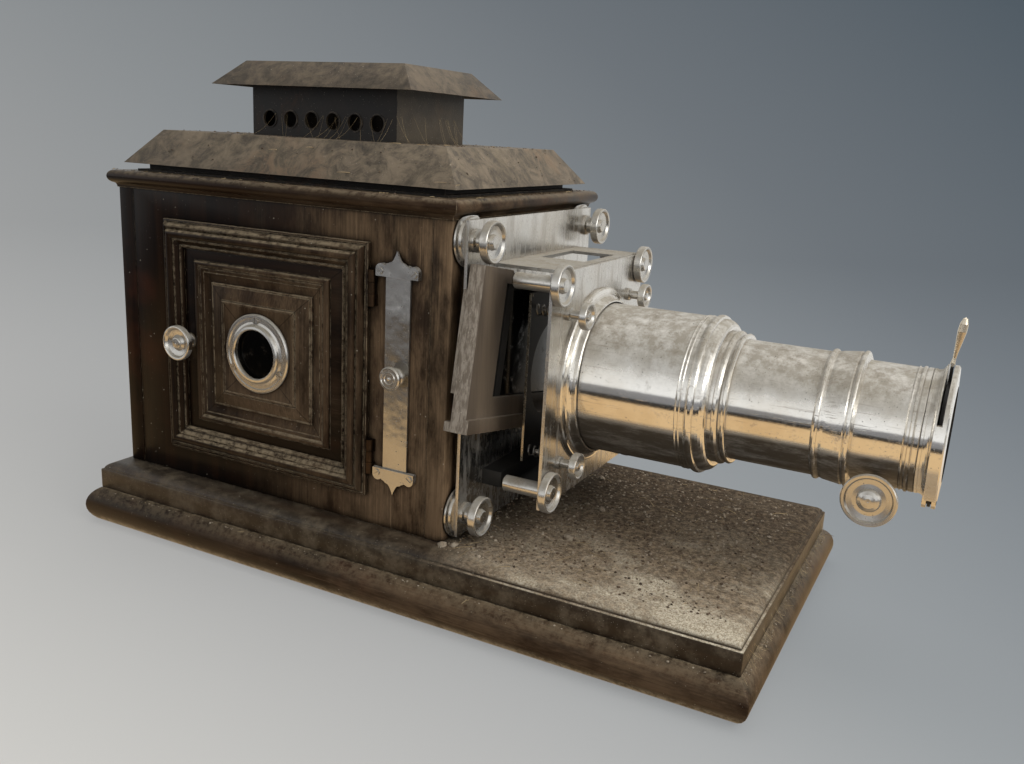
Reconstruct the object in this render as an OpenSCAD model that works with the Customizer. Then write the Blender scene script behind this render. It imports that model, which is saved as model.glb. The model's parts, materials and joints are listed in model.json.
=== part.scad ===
// Magic lantern: mahogany lamp house on a moulded baseboard, sheet-iron roof and
// chimney, sprung slide stage and a nickelled telescoping objective.
// The origin is the middle of the baseboard's underside. +X is the way the light
// goes, -Y is the side with the door, +Z is up. All sizes are millimetres.

/* [Baseboard] */
// Length of the lower board over its rounded nose
base_l = 532; // [500:1:560]
// Width of the lower board over its rounded nose
base_w = 271; // [256:1:300]
// Thickness of the lower board
base_h = 27.5; // [20:0.5:34]
// How far the nose stands out past the upper board
nose_out = 8.5; // [5:0.5:12]
// Thickness of the upper board
step_h = 20.5; // [14:0.5:28]
// Height of the square riser of the upper board
riser_h = 15.3; // [8:0.1:16]
// Width of the rounded shoulder above the riser
shoulder_w = 12; // [6:0.5:20]

/* [Lamp house] */
// Length of the wooden case
case_l = 292; // [270:1:310]
// Width of the wooden case
case_w = 209; // [196:1:220]
// Height of the posts and panels
case_h = 218; // [210:1:240]
// Distance from the origin to the front face of the case
front_x = 46.5; // [36:0.5:60]
// Side of a corner post
post_w = 14; // [11:0.5:18]
// Thickness of the side panels and end boards
wall_t = 11; // [9:0.5:13]
// How far the panels lie behind the faces of the posts
panel_set = 0.5; // [0.3:0.1:1.5]
// Height of the optical axis above the table
axis_z = 154.3; // [148:0.1:160]
// Half width of the opening in the back
back_open_hw = 60; // [50:1:70]
// Height of the opening in the back
back_open_h = 168; // [140:1:180]
// How far the cornice stands out past the case
cornice_out = 6; // [4:0.5:9]
// Thickness of the cornice above the posts
cornice_h = 9.5; // [6:0.5:12]
// Height of the cove under the cornice
cove_h = 3; // [2:0.5:6]
// Width of the cornice that lies on the posts and panels
cornice_in = 15; // [14.5:0.5:18]

/* [Roof and chimney] */
// Thickness of the sheet iron
sheet = 1.4; // [0.8:0.1:2]
// Length of the roof at its eave
eave_l = 290; // [280:1:304]
// Width of the roof at its eave
eave_w = 200; // [190:1:210]
// Gap under the eave
eave_gap = 5.5; // [4:0.5:10]
// Height of the sloping roof
roof_h = 25; // [18:1:34]
// How far the roof slopes in on each side
roof_in = 20.5; // [14:0.5:26]
// Length of the chimney box
chimney_l = 130; // [110:0.5:150]
// Width of the chimney box
chimney_w = 90; // [76:1:100]
// Height of the chimney box up to the cap's eave
chimney_h = 35; // [28:1:46]
// How far the chimney stands ahead of the roof's middle
chimney_shift = -2.5; // [-6:0.5:6]
// Length of the cap at its eave
cap_l = 177; // [164:0.5:190]
// Width of the cap at its eave
cap_w = 127; // [114:1:140]
// Height of the cap
cap_h = 18; // [14:1:24]
// How far the cap slopes in on each side
cap_in = 18; // [12:0.5:19]
// Radius of a draught hole
vent_r = 5.8; // [4:0.1:6.5]
// Spacing of the draught holes
vent_pitch = 19.4; // [15:0.1:20]
// Number of draught holes on each long side
vent_n = 6; // [3:1:6]
// Height of the draught holes above the roof
vent_z = 12.3; // [9:0.1:20]
// Depth of the collar that drops into the case
collar_drop = 17; // [10:1:24]

/* [Door] */
// Width of the door over its outer moulding
door_w = 183; // [170:1:190]
// Height of the door over its outer moulding
door_h = 174.5; // [160:0.5:184]
// Distance from the front face back to the door's hinge edge
door_edge = 61.5; // [56:0.5:64]
// Height of the door's middle above the table
door_z = 156.5; // [150:0.5:162]
// Thickness of the door board
door_t = 9; // [7:0.5:11]
// How far the outer moulding laps over the panel
door_lap = 6; // [4:0.5:8]
// Width of the outer moulding
frame_w = 19.5; // [16:0.5:21]
// Height of the outer moulding
frame_h = 9.6; // [8:0.2:12]
// Width over the ridge inside the outer moulding
ridge_w = 114; // [108:0.5:118]
// Height over the ridge inside the outer moulding
ridge_h = 113.5; // [108:0.5:118]
// How far the ridge stands out of the door
ridge_out = 4.8; // [4:0.1:5.6]
// Width of the slope from the ridge in to the centre
sink_w = 11.5; // [10:0.1:12.5]
// How far the foot of that slope stands out of the door
valley_out = 1.8; // [1:0.1:2.4]
// Width of the flat field in the centre
field_w = 65.5; // [62:0.5:70]
// Height of the flat field in the centre
field_h = 67.5; // [62:0.5:70]
// How far the field stands out of the door
field_out = 6.4; // [5:0.1:8]
// Outer radius of the window bezel
bezel_r = 28.5; // [24:0.5:31]
// Radius of the window
window_r = 18; // [13:0.5:19]
// Thickness of the window glass
glass_t = 2.5; // [1.5:0.5:4]
// Radius of the hinge pin
hinge_pin_r = 1.4; // [1:0.1:1.8]
// Outer radius of the hinge knuckles
knuckle_r = 2.6; // [2.3:0.1:3.2]
// Length of one hinge
hinge_len = 24; // [18:1:32]
// Distance from the door's middle to the middle of each hinge
hinge_z = 58; // [45:1:66]
// Radius of the door knob
door_knob_r = 12.8; // [10:0.2:15]
// Distance from the door's free edge to its knob
door_knob_in = 24.9; // [24:0.1:27]

/* [Ventilator strip] */
// Distance from the pin of the door's hinge to the strip
strip_off = 10.6; // [10.5:0.1:14]
// Width of the strip
strip_w = 19; // [15:0.5:20]
// Length of the strip that shows between its keepers
strip_show = 130; // [110:1:140]
// Height of the strip's middle above the table
strip_z = 157.5; // [150:0.5:165]
// Thickness of the strip
strip_t = 1.4; // [1:0.1:1.8]
// Length of the strip that lies under each keeper
strip_tuck = 9; // [8.5:0.5:10]
// Travel of the strip each way
strip_travel = 7; // [3:0.5:7]
// Radius of the small turned knob
strip_knob_r = 8; // [6.5:0.5:9]

/* [Slide stage] */
// Length of the round bosses behind the rear plate
boss_t = 4.5; // [3:0.5:7]
// Radius of the round bosses
boss_r = 17.5; // [14:0.5:20]
// Thickness of the stage plates
plate_t = 2.2; // [1.5:0.1:3]
// Half width of the rear plate
rear_hw = 96; // [88:0.5:98]
// Height of the rear plate's lower edge above the table
rear_low = 51; // [49.5:0.5:54]
// Height of the rear plate's upper edge above the table
rear_high = 263; // [252:0.5:264]
// Half spacing of the rear studs across
rear_stud_y = 87; // [80:0.5:88]
// Height of the upper rear studs
rear_stud_top = 250; // [246:0.5:252]
// Height of the lower rear studs
rear_stud_low = 66; // [66:0.5:74]
// Gap between the two plates
stage_gap = 50.3; // [46:0.1:60]
// Half width of the front plate
front_hw = 79.5; // [74:0.5:84]
// Height of the front plate's lower edge above the table
front_low = 77; // [70:0.5:82]
// Height of the front plate's upper edge above the table
front_high = 233.5; // [232:0.5:246]
// Half spacing of the front studs across
stud_y = 72; // [68:0.5:73]
// Height of the upper front studs
stud_top = 226; // [220:0.5:227]
// Height of the lower front studs
stud_low = 88; // [84:0.5:92]
// Radius of the front studs
stud_r = 5.4; // [4:0.1:5.5]
// Length of the front studs
stud_l = 28; // [20:0.5:30]
// Radius of the large thumb nuts
nut_r = 13.6; // [11:0.2:14]
// Radius of the threaded ends that carry the thumb nuts
thread_r = 3; // [2.5:0.1:3.5]
// Gap between the rear plate and its thumb nuts
nut_off = 9.5; // [6:0.5:12]
// Radius of the light opening in the stage plates
light_r = 46; // [40:0.5:47]
// Radius of the small thumb screws
screw_knob_r = 9; // [7:0.2:10]
// Half spacing of the small thumb screws across
screw_y = 53.5; // [51:0.5:56]
// Half spacing of the small thumb screws up and down
screw_dz = 51; // [49:0.5:54]
// Length of the small screws' stems
screw_stem = 10.5; // [8:0.5:14]

/* [Slide carrier] */
// Angle at which the carrier sits in the stage
carrier_tilt = 10; // [9:0.5:10]
// Length of the carrier
carrier_l = 236; // [228:1:240]
// Height of the carrier at its ends
carrier_h = 100; // [98:0.5:101]
// Thickness of the carrier
carrier_t = 11; // [10:0.5:12]
// Width of the carrier's ends
carrier_end = 32; // [28:1:34]
// Height of the carrier's foot rail
carrier_foot = 6.5; // [5:0.5:7]
// Height of the upper edge between the ends
carrier_neck = 95; // [94.5:0.5:96]
// Width of the lower rail inside the frame
carrier_low = 16; // [14:0.5:17]
// Height of the window in the carrier
carrier_window = 75; // [72:0.5:76]
// Depth of the grooves for the slide holder
groove_d = 3; // [2:0.5:3.5]
// Width of the slide holder
holder_w = 92; // [90:1:98]
// Side of the glass slide
slide_side = 76; // [74:0.5:77]
// Thickness of the pressure plate
pressure_t = 1.6; // [1.2:0.1:2]
// Half width of the pressure plate
pressure_hw = 42; // [40:0.5:46]
// Height of the pressure plate's lower edge above the table
pressure_low = 94; // [94:0.5:98]
// Height of the pressure plate's upper edge above the table
pressure_high = 211; // [208:0.5:216]
// Radius of the wire of the stage springs
spring_wire = 0.7; // [0.5:0.05:0.9]
// Mean radius of the stage springs
spring_r = 3.6; // [3.2:0.1:4.5]
// Turns of each stage spring
spring_turns = 7; // [5:1:9]

/* [Objective] */
// Outer radius of the main tube
main_r = 51.8; // [50.5:0.1:54]
// Wall of the main tube
main_wall = 1.6; // [1.2:0.1:2]
// Length of the main tube ahead of its flange
main_l = 72; // [66:0.5:90]
// Outer radius of the flange on the front plate
flange_r = 62; // [59:0.5:64]
// Length of the flange
flange_l = 10; // [8:0.5:14]
// Length of the large collar
collar_l = 14; // [12:0.5:18]
// Length of the stepped ring ahead of the collar
ring_l = 10; // [8:0.5:14]
// Outer radius of the draw tube
draw_r = 40; // [39:0.1:42]
// Length of the draw tube that shows
draw_show = 52; // [46:0.5:70]
// Length of the draw tube inside the main tube
draw_in = 44; // [40:0.5:48]
// Wall of the tubes
tube_wall = 1.6; // [1.2:0.1:1.8]
// Length of the moulded band
band_l = 24; // [20:0.5:30]
// Outer radius of the sleeve
sleeve_r = 38; // [37.2:0.1:38.5]
// Length of the sleeve ahead of the band
sleeve_l = 36.5; // [32:0.5:44]
// Outer radius of the lens tube
lens_r = 32.6; // [31:0.1:33]
// Length of the hood
hood_l = 14; // [13.5:0.5:18]
// Radius of the hood's front flange
hood_r = 42; // [40.5:0.5:44]
// Width of the slot for the flasher
slot_w = 3.2; // [2.8:0.1:4]
// Height above the axis at which the near end of the slot stops
slot_end = 13.8; // [8:0.2:20]
// Thickness of the flasher blade
blade_t = 1.8; // [1.2:0.1:2.2]
// Distance from the axis down to the flasher's pivot
pivot_drop = 44.5; // [43:0.5:46]
// Length of the flasher's handle above the hood
handle_l = 29; // [20:1:36]

/* [Focusing rack] */
// Module of the rack and pinion
gear_m = 0.7; // [0.7:0.05:0.8]
// Teeth of the pinion
pinion_n = 12; // [12:1:13]
// Distance from the axis to the rack's pitch line
rack_pitch_r = 34.4; // [34.2:0.05:34.6]
// Backlash along the pitch line
backlash = 0.24; // [0.1:0.02:0.3]
// Width of the rack
rack_w = 8; // [6:0.5:10]
// Radius of the pinion shaft
shaft_r = 2.2; // [1.8:0.1:2.4]
// Radius of the focusing knobs
focus_knob_r = 16.6; // [14:0.2:18]
// Half distance between the faces of the focusing knobs
focus_knob_y = 42; // [41.5:0.5:50]

/* [Lamp] */
// Length of the lamp tray
tray_l = 180; // [160:1:190]
// Half width of the lamp tray
tray_hw = 50; // [44:1:54]
// Length of the oil tank
tank_l = 116; // [90:1:130]
// Half width of the oil tank
tank_hw = 38; // [30:1:42]
// Height of the oil tank
tank_h = 26; // [20:1:34]
// Radius of the reflector
reflector_r = 34; // [28:1:38]

/* [Fits] */
// Gap between pieces that move past each other
gap = 0.3; // [0.2:0.05:0.4]
// Radial clearance of a shaft in its bore
fit = 0.06; // [0.03:0.01:0.09]

/* [Hidden] */

$fn = 72;
EPS = 0.01;
TINY = 0.05;

mahogany = [0.20, 0.13, 0.09];
dark_wood = [0.13, 0.09, 0.06];
carrier_wood = [0.36, 0.30, 0.24];
iron = [0.24, 0.21, 0.18];
nickel = [0.72, 0.70, 0.66];
brass = [0.60, 0.48, 0.28];
black = [0.05, 0.05, 0.05];
glass = [0.55, 0.62, 0.62, 0.5];
tin = [0.45, 0.44, 0.42];

// Levels of the case
base_top = base_h + step_h;
case_top = base_top + case_h;
cornice_top = case_top + cornice_h;
eave_z = cornice_top + eave_gap;
roof_top = eave_z + roof_h;
cap_z = roof_top + chimney_h;

// Places along the case
back_x = front_x - case_l;
mid_x = (front_x + back_x) / 2;
near_y = -case_w / 2;
panel_y = near_y + panel_set;
cove_out = 1.4;
chimney_x = mid_x + chimney_shift;

// Door
door_x = front_x - door_edge - door_w / 2;
board_w = door_w - 2 * door_lap;
board_h = door_h - 2 * door_lap;
hinge_x = front_x - door_edge + knuckle_r + gap;
hinge_y = panel_y - knuckle_r;
knob_in_x = door_knob_in - door_w / 2;
knob_x = door_x + knob_in_x;
knob_seat = 4.4;
knob_pin_r = 3;
ridge_foot = 2.6;
bezel_y = gap + field_out;

// Strip
strip_x = hinge_x + strip_off + strip_w / 2;
strip_y = panel_y - gap;

// Stage, from the case forward
rear_x = front_x + boss_t;
rear_face = rear_x + plate_t;
front_back = rear_face + stage_gap;
front_face = front_back + plate_t;
carrier_x = rear_face + gap;
carrier_body_x = carrier_x + 4.5;
carrier_front = carrier_body_x + carrier_t;
pressure_x = carrier_front + 2 + gap;
nut_t = 6;
rear_nut_x = rear_face + nut_off;
front_nut_x = front_face + gap;
pin_r = 1.8;
spring_y = 36;
spring_low = pressure_low + 7;
spring_top = pressure_high - 9;
cell_r = 53;
lens_edge_r = 48;
carrier_clear = 91;
sill_y = -58;
sill_t = 2;
rest_hw = 64;
rest_t = 15;
top_near = -62;
top_far = 76;
slot_near = -8;
slot_far = 47;
slot_in = 8.5;
carrier_y = -118;
carrier_z = 138.8;
window_end = carrier_l - carrier_end;
groove_x = carrier_body_x + 3.5;
groove_w = 4;
holder_y = carrier_end + 10;

// Objective, from the front plate forward
flange_end = front_face + flange_l;
main_end = flange_end + main_l;
collar_end = main_end + collar_l;
ring_end = collar_end + ring_l;
band_x = ring_end + draw_show;
band_end = band_x + band_l;
sleeve_end = band_end + sleeve_l;
hood_x = sleeve_end + gap;
hood_end = hood_x + hood_l;
slot_x = hood_end - 3.6 - slot_w;
blade_x = slot_x + (slot_w - blade_t) / 2;
pivot_z = axis_z - pivot_drop;
pinion_r = gear_m * pinion_n / 2;
pinion_z = axis_z - rack_pitch_r - pinion_r;
pinion_x = band_end + sleeve_l / 2 - 4;
rack_pitch = PI * gear_m;
rack_teeth = 12;
hood_bore = lens_r - tube_wall;
sleeve_bore = lens_r + fit;
housing_hw = 10;

// Lamp and roof
tray_x = back_x - 6;
tray_z = base_top + gap;
tray_t = 1.5;
grip_l = 12;
grip_hw = 22;
tank_in = 34;
wick_y = 9;
panel_l = case_l - 2 * post_w;

// Points of an arc round c
function arc(c, r, a0, a1, n) = [
    for (i = [0:n]) c + r * [cos(a0 + (a1 - a0) * i / n), sin(a0 + (a1 - a0) * i / n)]
];
// Points of a quarter ellipse from [0, 0] out to [a, b], bulging outward
function ovolo(a, b, n) = [
    for (i = [0:n]) [a * (1 - cos(90 * i / n)), b * sin(90 * i / n)]
];
function mirrored(edge, half) = concat(
    [for (p = edge) [half - p[0], p[1]]],
    [for (i = [len(edge) - 1:-1:0]) [edge[i][0] - half, edge[i][1]]]
);

// A board whose ends have one section and whose long edges another, each given
// as [inset, height]
module two_way_board(l, w, ends, edges) {
    intersection() {
        rotate([90, 0, 90]) linear_extrude(l, center = true) polygon(mirrored(edges, w / 2));
        rotate([90, 0, 0]) linear_extrude(w, center = true) polygon(mirrored(ends, l / 2));
    }
}

// A board whose four edges have one section
module moulded_board(l, w, edge) {
    two_way_board(l, w, edge, edge);
}

// A mitred frame on the XY plane, with a section given as [inset, height]
module mitred_frame(l, w, section) {
    reach = max([for (p = section) p[0]]);
    low = min([for (p = section) p[1]]);
    high = max([for (p = section) p[1]]);
    for (side = [0:3]) {
        run = side % 2 == 0 ? l : w;
        off = (side % 2 == 0 ? w : l) / 2;
        rotate(90 * side) intersection() {
            translate([-run / 2, -off, 0]) rotate([90, 0, 90])
                linear_extrude(run) polygon(section);
            translate([0, 0, low - 1]) linear_extrude(high - low + 2) polygon([
                [-run / 2, -off], [run / 2, -off],
                [run / 2 - reach, -off + reach], [-run / 2 + reach, -off + reach]
            ]);
        }
    }
}

// A block that slopes in on all four sides
module hip(l, w, h, in) {
    moulded_board(l, w, [[0, 0], [in, h]]);
}

// A hipped sheet-metal shell, open below
module hip_shell(l, w, h, in) {
    slant = sheet * sqrt(in * in + h * h) / h;
    top_in = in * (h - sheet) / h;
    difference() {
        hip(l, w, h, in);
        translate([0, 0, -EPS])
            moulded_board(l - 2 * slant, w - 2 * slant, [[0, 0], [top_in, h - sheet + EPS]]);
    }
}

// Turned pieces: a section of [radius, distance], spun about +X from x
module turned(x, y, z, section) {
    translate([x, y, z]) rotate([90, 0, 90]) rotate_extrude() polygon(section);
}

// Turned pieces spun about -Y, for what sticks out of the near side
module turned_out(x, y, z, section) {
    translate([x, y, z]) rotate([90, 0, 0]) rotate_extrude() polygon(section);
}

// A straight tube along +X
module tube(x0, x1, ro, ri) {
    translate([x0, 0, axis_z]) rotate([0, 90, 0]) difference() {
        cylinder(r = ro, h = x1 - x0);
        translate([0, 0, -1]) cylinder(r = ri, h = x1 - x0 + 2);
    }
}

// Things placed on the near side face, drawn as seen from outside
module on_near(x, z) {
    translate([x, panel_y, z]) rotate([90, 0, 0]) children();
}

module base_board() {
    nose_r = (base_h * base_h / 4 + nose_out * nose_out) / (2 * nose_out);
    half = asin(base_h / 2 / nose_r);
    nose = [
        for (i = [0:10]) let (a = -half + half * i / 5)
            [nose_r * (1 - cos(a)), base_h / 2 + nose_r * sin(a)]
    ];
    color(mahogany) moulded_board(base_l, base_w, nose);
}

module base_step() {
    edge = concat(
        [[0, 0], [0, riser_h], [1.5, riser_h]],
        [for (p = ovolo(shoulder_w - 1.5, step_h - riser_h, 6)) [p[0] + 1.5, p[1] + riser_h]]
    );
    color(mahogany) translate([0, 0, base_h])
        moulded_board(base_l - 2 * nose_out, base_w - 2 * nose_out - 3, edge);
}

module corner_posts() {
    color(mahogany)
    for (x = [back_x, front_x - post_w], y = [near_y, -near_y - post_w])
        translate([x, y, base_top]) cube([post_w, post_w, case_h]);
}

module side_near() {
    color(mahogany) difference() {
        translate([back_x + post_w, panel_y, base_top]) cube([panel_l, wall_t, case_h]);
        translate([door_x - board_w / 2 - gap, panel_y - 1, door_z - board_h / 2 - gap])
            cube([board_w + 2 * gap, wall_t + 2, board_h + 2 * gap]);
        translate([strip_x - 2.5, panel_y - 1, strip_z - 16]) cube([5, wall_t + 2, 32]);
    }
}

// The far side has the door's moulding round a fixed, fielded panel
module side_far() {
    outer = [
        [0, -1], [0, 3], [2, 5.2], [5, 3.8], [8, 7.4], [frame_w / 2, frame_h], [13, 7.6],
        [14.5, 5.8], [frame_w, 5.2], [frame_w, -1]
    ];
    color(mahogany) {
        translate([back_x + post_w, -panel_y - wall_t, base_top]) cube([panel_l, wall_t, case_h]);
        translate([door_x, -panel_y, door_z]) rotate([-90, 0, 0]) {
            mitred_frame(door_w, door_h, outer);
            door_ridge();
            translate([0, 0, -EPS]) door_field();
        }
    }
}

module front_board() {
    color(mahogany) difference() {
        translate([front_x - wall_t, near_y + post_w, base_top])
            cube([wall_t, case_w - 2 * post_w, case_h]);
        translate([front_x - wall_t - 1, 0, axis_z]) rotate([0, 90, 0])
            cylinder(r = cell_r + fit, h = wall_t + 2);
    }
}

module back_frame() {
    color(mahogany) difference() {
        translate([back_x, near_y + post_w, base_top])
            cube([wall_t, case_w - 2 * post_w, case_h]);
        translate([back_x - 1, -back_open_hw, base_top - 1])
            cube([wall_t + 2, 2 * back_open_hw, back_open_h + 1]);
    }
}

// Large half-round bead over a small cove
module cornice() {
    bead = cornice_h / 2;
    reach = cornice_out + cornice_in;
    section = concat(
        [[reach, 0], [cornice_out, 0], [cornice_out, -cove_h]],
        [for (i = [0:4]) [
            cornice_out - 0.8 - cove_out * (1 - cos(22.5 * i)), -cove_h * (1 - sin(22.5 * i))
        ]],
        arc([bead, bead], bead, 258, 90, 10),
        [[reach, cornice_h]]
    );
    color(mahogany) translate([mid_x, 0, case_top])
        mitred_frame(case_l + 2 * cornice_out, case_w + 2 * cornice_out, section);
}

// Sheet-iron roof with a hole for the chimney
module roof() {
    color(iron) translate([mid_x, 0, eave_z]) difference() {
        hip_shell(eave_l, eave_w, roof_h, roof_in);
        translate([chimney_x - mid_x, 0, roof_h])
            cube([chimney_l - 4 * sheet, chimney_w - 4 * sheet, 6 * sheet], center = true);
    }
}

// The collar under the roof drops into the case and stands on the cornice
module roof_collar() {
    l = case_l - 2 * cornice_in - 2 * gap - 1;
    w = case_w - 2 * cornice_in - 2 * gap - 1;
    slant = sheet * sqrt(roof_in * roof_in + roof_h * roof_h) / roof_h;
    color(iron) translate([mid_x, 0, 0]) {
        intersection() {
            translate([0, 0, cornice_top - collar_drop]) difference() {
                translate([-l / 2, -w / 2, 0]) cube([l, w, 60]);
                translate([-l / 2 + sheet, -w / 2 + sheet, -1])
                    cube([l - 2 * sheet, w - 2 * sheet, 62]);
            }
            translate([0, 0, eave_z - TINY]) union() {
                moulded_board(eave_l - 2 * slant, eave_w - 2 * slant,
                    [[0, 0], [roof_in * (roof_h - sheet) / roof_h, roof_h - sheet]]);
                translate([-eave_l / 2, -eave_w / 2, -50]) cube([eave_l, eave_w, 50]);
            }
        }
        translate([0, 0, cornice_top]) difference() {
            translate([-l / 2 - 6, -w / 2 - 6, 0]) cube([l + 12, w + 12, sheet]);
            translate([-l / 2 + EPS, -w / 2 + EPS, -1]) cube([l - 2 * EPS, w - 2 * EPS, sheet + 2]);
        }
    }
}

// Folded sheet box with a row of draught holes, each in a raised rim, on both sides
module chimney() {
    h = chimney_h + cap_h - sheet;
    row = (vent_n - 1) * vent_pitch;
    rim = 0.8;
    color(iron) translate([chimney_x, 0, roof_top]) {
        difference() {
            translate([-chimney_l / 2, -chimney_w / 2, 0]) cube([chimney_l, chimney_w, h]);
            translate([-chimney_l / 2 + sheet, -chimney_w / 2 + sheet, -1])
                cube([chimney_l - 2 * sheet, chimney_w - 2 * sheet, h + 2]);
            for (i = [0:vent_n - 1])
                translate([vent_pitch * i - row / 2, 0, vent_z]) rotate([90, 0, 0])
                    cylinder(r = vent_r, h = chimney_w + 2, center = true);
        }
        for (i = [0:vent_n - 1], s = [-1, 1])
            translate([vent_pitch * i - row / 2, s * (chimney_w / 2 - EPS), vent_z])
                rotate([s * -90, 0, 0]) difference() {
                    cylinder(r = vent_r + rim, h = 0.7);
                    translate([0, 0, -1]) cylinder(r = vent_r, h = 3);
                }
    }
}

module chimney_cap() {
    color(iron) translate([chimney_x, 0, cap_z]) hip_shell(cap_l, cap_w, cap_h, cap_in);
}

// Section of the door's outer moulding, drawn 20 wide and 10 high: bead, hollow,
// large roll, step and two small beads
outer_form = concat(
    [[0, 0], [0, 2.7]],
    arc([2.4, 3.9], 1.6, 190, 10, 5),
    arc([4.4, 7], 3.4, -90, 0, 4),
    arc([10.8, 7], 3, 165, 0, 6),
    [[13.8, 6.2], [15, 6.2]],
    arc([16.2, 6], 1.1, 170, 10, 4),
    arc([18.6, 5.6], 1.1, 170, 10, 4),
    [[20, 5.4], [20, 0]]
);

module door_outer_moulding() {
    section = [for (p = outer_form) [p[0] * frame_w / 20, p[1] * frame_h / 10]];
    color(mahogany) on_near(door_x, door_z) translate([0, 0, gap])
        mitred_frame(door_w, door_h, section);
}

// Ridge inside the outer moulding: rises from it, then falls to the centre
module door_ridge() {
    l = door_w - 2 * frame_w;
    w = door_h - 2 * frame_w;
    arris = 0.4;
    pit = [[0, ridge_out + 1], [0, ridge_out], [sink_w - arris, valley_out]];
    difference() {
        two_way_board(
            l, w, [[0, -1], [0, ridge_foot], [(l - ridge_w) / 2, ridge_out]],
            [[0, -1], [0, ridge_foot], [(w - ridge_h) / 2, ridge_out]]
        );
        moulded_board(ridge_w - 2 * arris, ridge_h - 2 * arris, pit);
    }
}

// Raised centre: slopes up to a flat field with a small bead round it
module door_field() {
    l = ridge_w - 2 * sink_w;
    w = ridge_h - 2 * sink_w;
    foot = field_out - 0.7;
    end = (l - field_w) / 2;
    edge = (w - field_h) / 2;
    two_way_board(
        l, w, [[0, valley_out], [end, foot], [end + 0.5, foot], [end + 0.5, field_out]],
        [[0, valley_out], [edge, foot], [edge + 0.5, foot], [edge + 0.5, field_out]]
    );
    translate([0, 0, foot - EPS])
        mitred_frame(field_w, field_h, [[0, 0], [0, 0.8], [0.5, 1.2], [1.1, 1.2], [1.6, 0.8], [1.6, 0]]);
}

module door_board() {
    color(dark_wood) on_near(door_x, door_z) difference() {
        union() {
            translate([-board_w / 2, -board_h / 2, gap - door_t]) cube([board_w, board_h, door_t]);
            translate([0, 0, gap]) door_ridge();
            translate([knob_in_x, 0, 0]) cylinder(r = 5.3, h = gap + knob_seat);
        }
        translate([0, 0, -door_t - 1]) cylinder(r = window_r + 1, h = door_t + 8);
        translate([knob_in_x, 0, -door_t - 1]) cylinder(r = knob_pin_r + fit, h = door_t + 8);
    }
}

module door_centre() {
    color(mahogany) on_near(door_x, door_z) translate([0, 0, gap]) difference() {
        door_field();
        cylinder(r = window_r + 1, h = field_out + 2);
    }
}

// Turned bezel with three screws round it
module window_bezel() {
    r1 = window_r;
    r2 = bezel_r;
    color(nickel) on_near(door_x, door_z) {
        translate([0, 0, bezel_y]) rotate_extrude() polygon([
            [r1 + 1, 0], [r2, 0], [r2, 1.2], [r2 - 1, 2], [r2 - 2.6, 2], [r2 - 3.4, 1.4],
            [r1 + 5, 1.4], [r1 + 3.4, 2], [r1 + 2.8, 3.6], [r1 + 1.9, 4.4], [r1 + 0.4, 4.6],
            [r1 - 0.4, 3.9], [r1 - 0.4, 2.8], [r1 + 1, 1.8]
        ]);
        for (a = [90, -30, 210])
            rotate(a) translate([(r2 + r1) / 2 + 0.8, 0, bezel_y + 1.4 - EPS]) difference() {
                cylinder(r = 2.3, h = 1.3, $fn = 24);
                translate([-3, -0.35, 0.7]) cube([6, 0.7, 1]);
            }
    }
}

module window_glass() {
    color(black) on_near(door_x, door_z) translate([0, 0, bezel_y - glass_t])
        cylinder(r = window_r + 0.9, h = glass_t);
}

// Two butt hinges at the front edge of the door; the pins are fixed to the case
module hinge_fixed() {
    color(brass) for (s = [-1, 1]) translate([hinge_x, hinge_y, door_z + s * hinge_z]) {
        translate([0, 0, -hinge_len / 2]) cylinder(r = knuckle_r, h = hinge_len / 3, $fn = 32);
        translate([0, 0, hinge_len / 6]) cylinder(r = knuckle_r, h = hinge_len / 3, $fn = 32);
        translate([0, 0, -hinge_len / 2]) cylinder(r = hinge_pin_r, h = hinge_len, $fn = 32);
        for (z = [-hinge_len / 2, hinge_len / 6])
            translate([0, knuckle_r - 0.8, z]) cube([3.2, 0.8, hinge_len / 3]);
    }
}

module hinge_moving() {
    len = hinge_len / 3 - 2 * gap;
    color(brass) for (s = [-1, 1]) translate([hinge_x, hinge_y, door_z + s * hinge_z]) {
        difference() {
            union() {
                translate([0, 0, -len / 2]) cylinder(r = knuckle_r, h = len, $fn = 32);
                translate([-knuckle_r - gap, knuckle_r - gap - 2.4, -len / 2]) cube([1.4, 2.4, len]);
            }
            translate([0, 0, -len]) cylinder(r = hinge_pin_r + fit, h = 2 * len, $fn = 32);
        }
    }
}

// Section of a dished wheel: rim, hollow face and centre boss
function wheel(r, t, boss) = concat(
    [[0, 0], [r - 1.6, 0]],
    arc([r - 1.2, 1.2], 1.2, -90, 0, 3),
    [[r, t - 1]],
    arc([r - 1, t - 1], 1, 30, 90, 2),
    [[r - 2, t - 0.4], [r - 3.2, t - 2]],
    [for (i = [1:4]) let (f = i / 4) [r - 3.2 - (r - 3.2 - boss - 0.6) * f, t - 2 - 1 * sin(180 * f / 2)]],
    [[boss, t - 1.6]],
    arc([boss - 0.9, t - 1.3], 0.9, 0, 90, 2),
    [[0, t - 0.2]]
);

module door_knob() {
    seat = gap + knob_seat;
    head = [for (p = wheel(door_knob_r, 5, 4.2)) [p[0], p[1] + seat + 9.8]];
    color(nickel) turned_out(knob_x, panel_y, door_z, concat(
        [
            [0, -wall_t - 4], [knob_pin_r, -wall_t - 4], [knob_pin_r, seat + TINY],
            [5, seat + TINY], [5, seat + 1.6], [3.6, seat + 2.6], [3.2, seat + 6.4], [5, seat + 9.4]
        ],
        [for (p = head) if (p[0] > 6) p],
        [for (p = head) if (p[0] <= 6 && p[1] > seat + 11.8) p]
    ));
}

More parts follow.
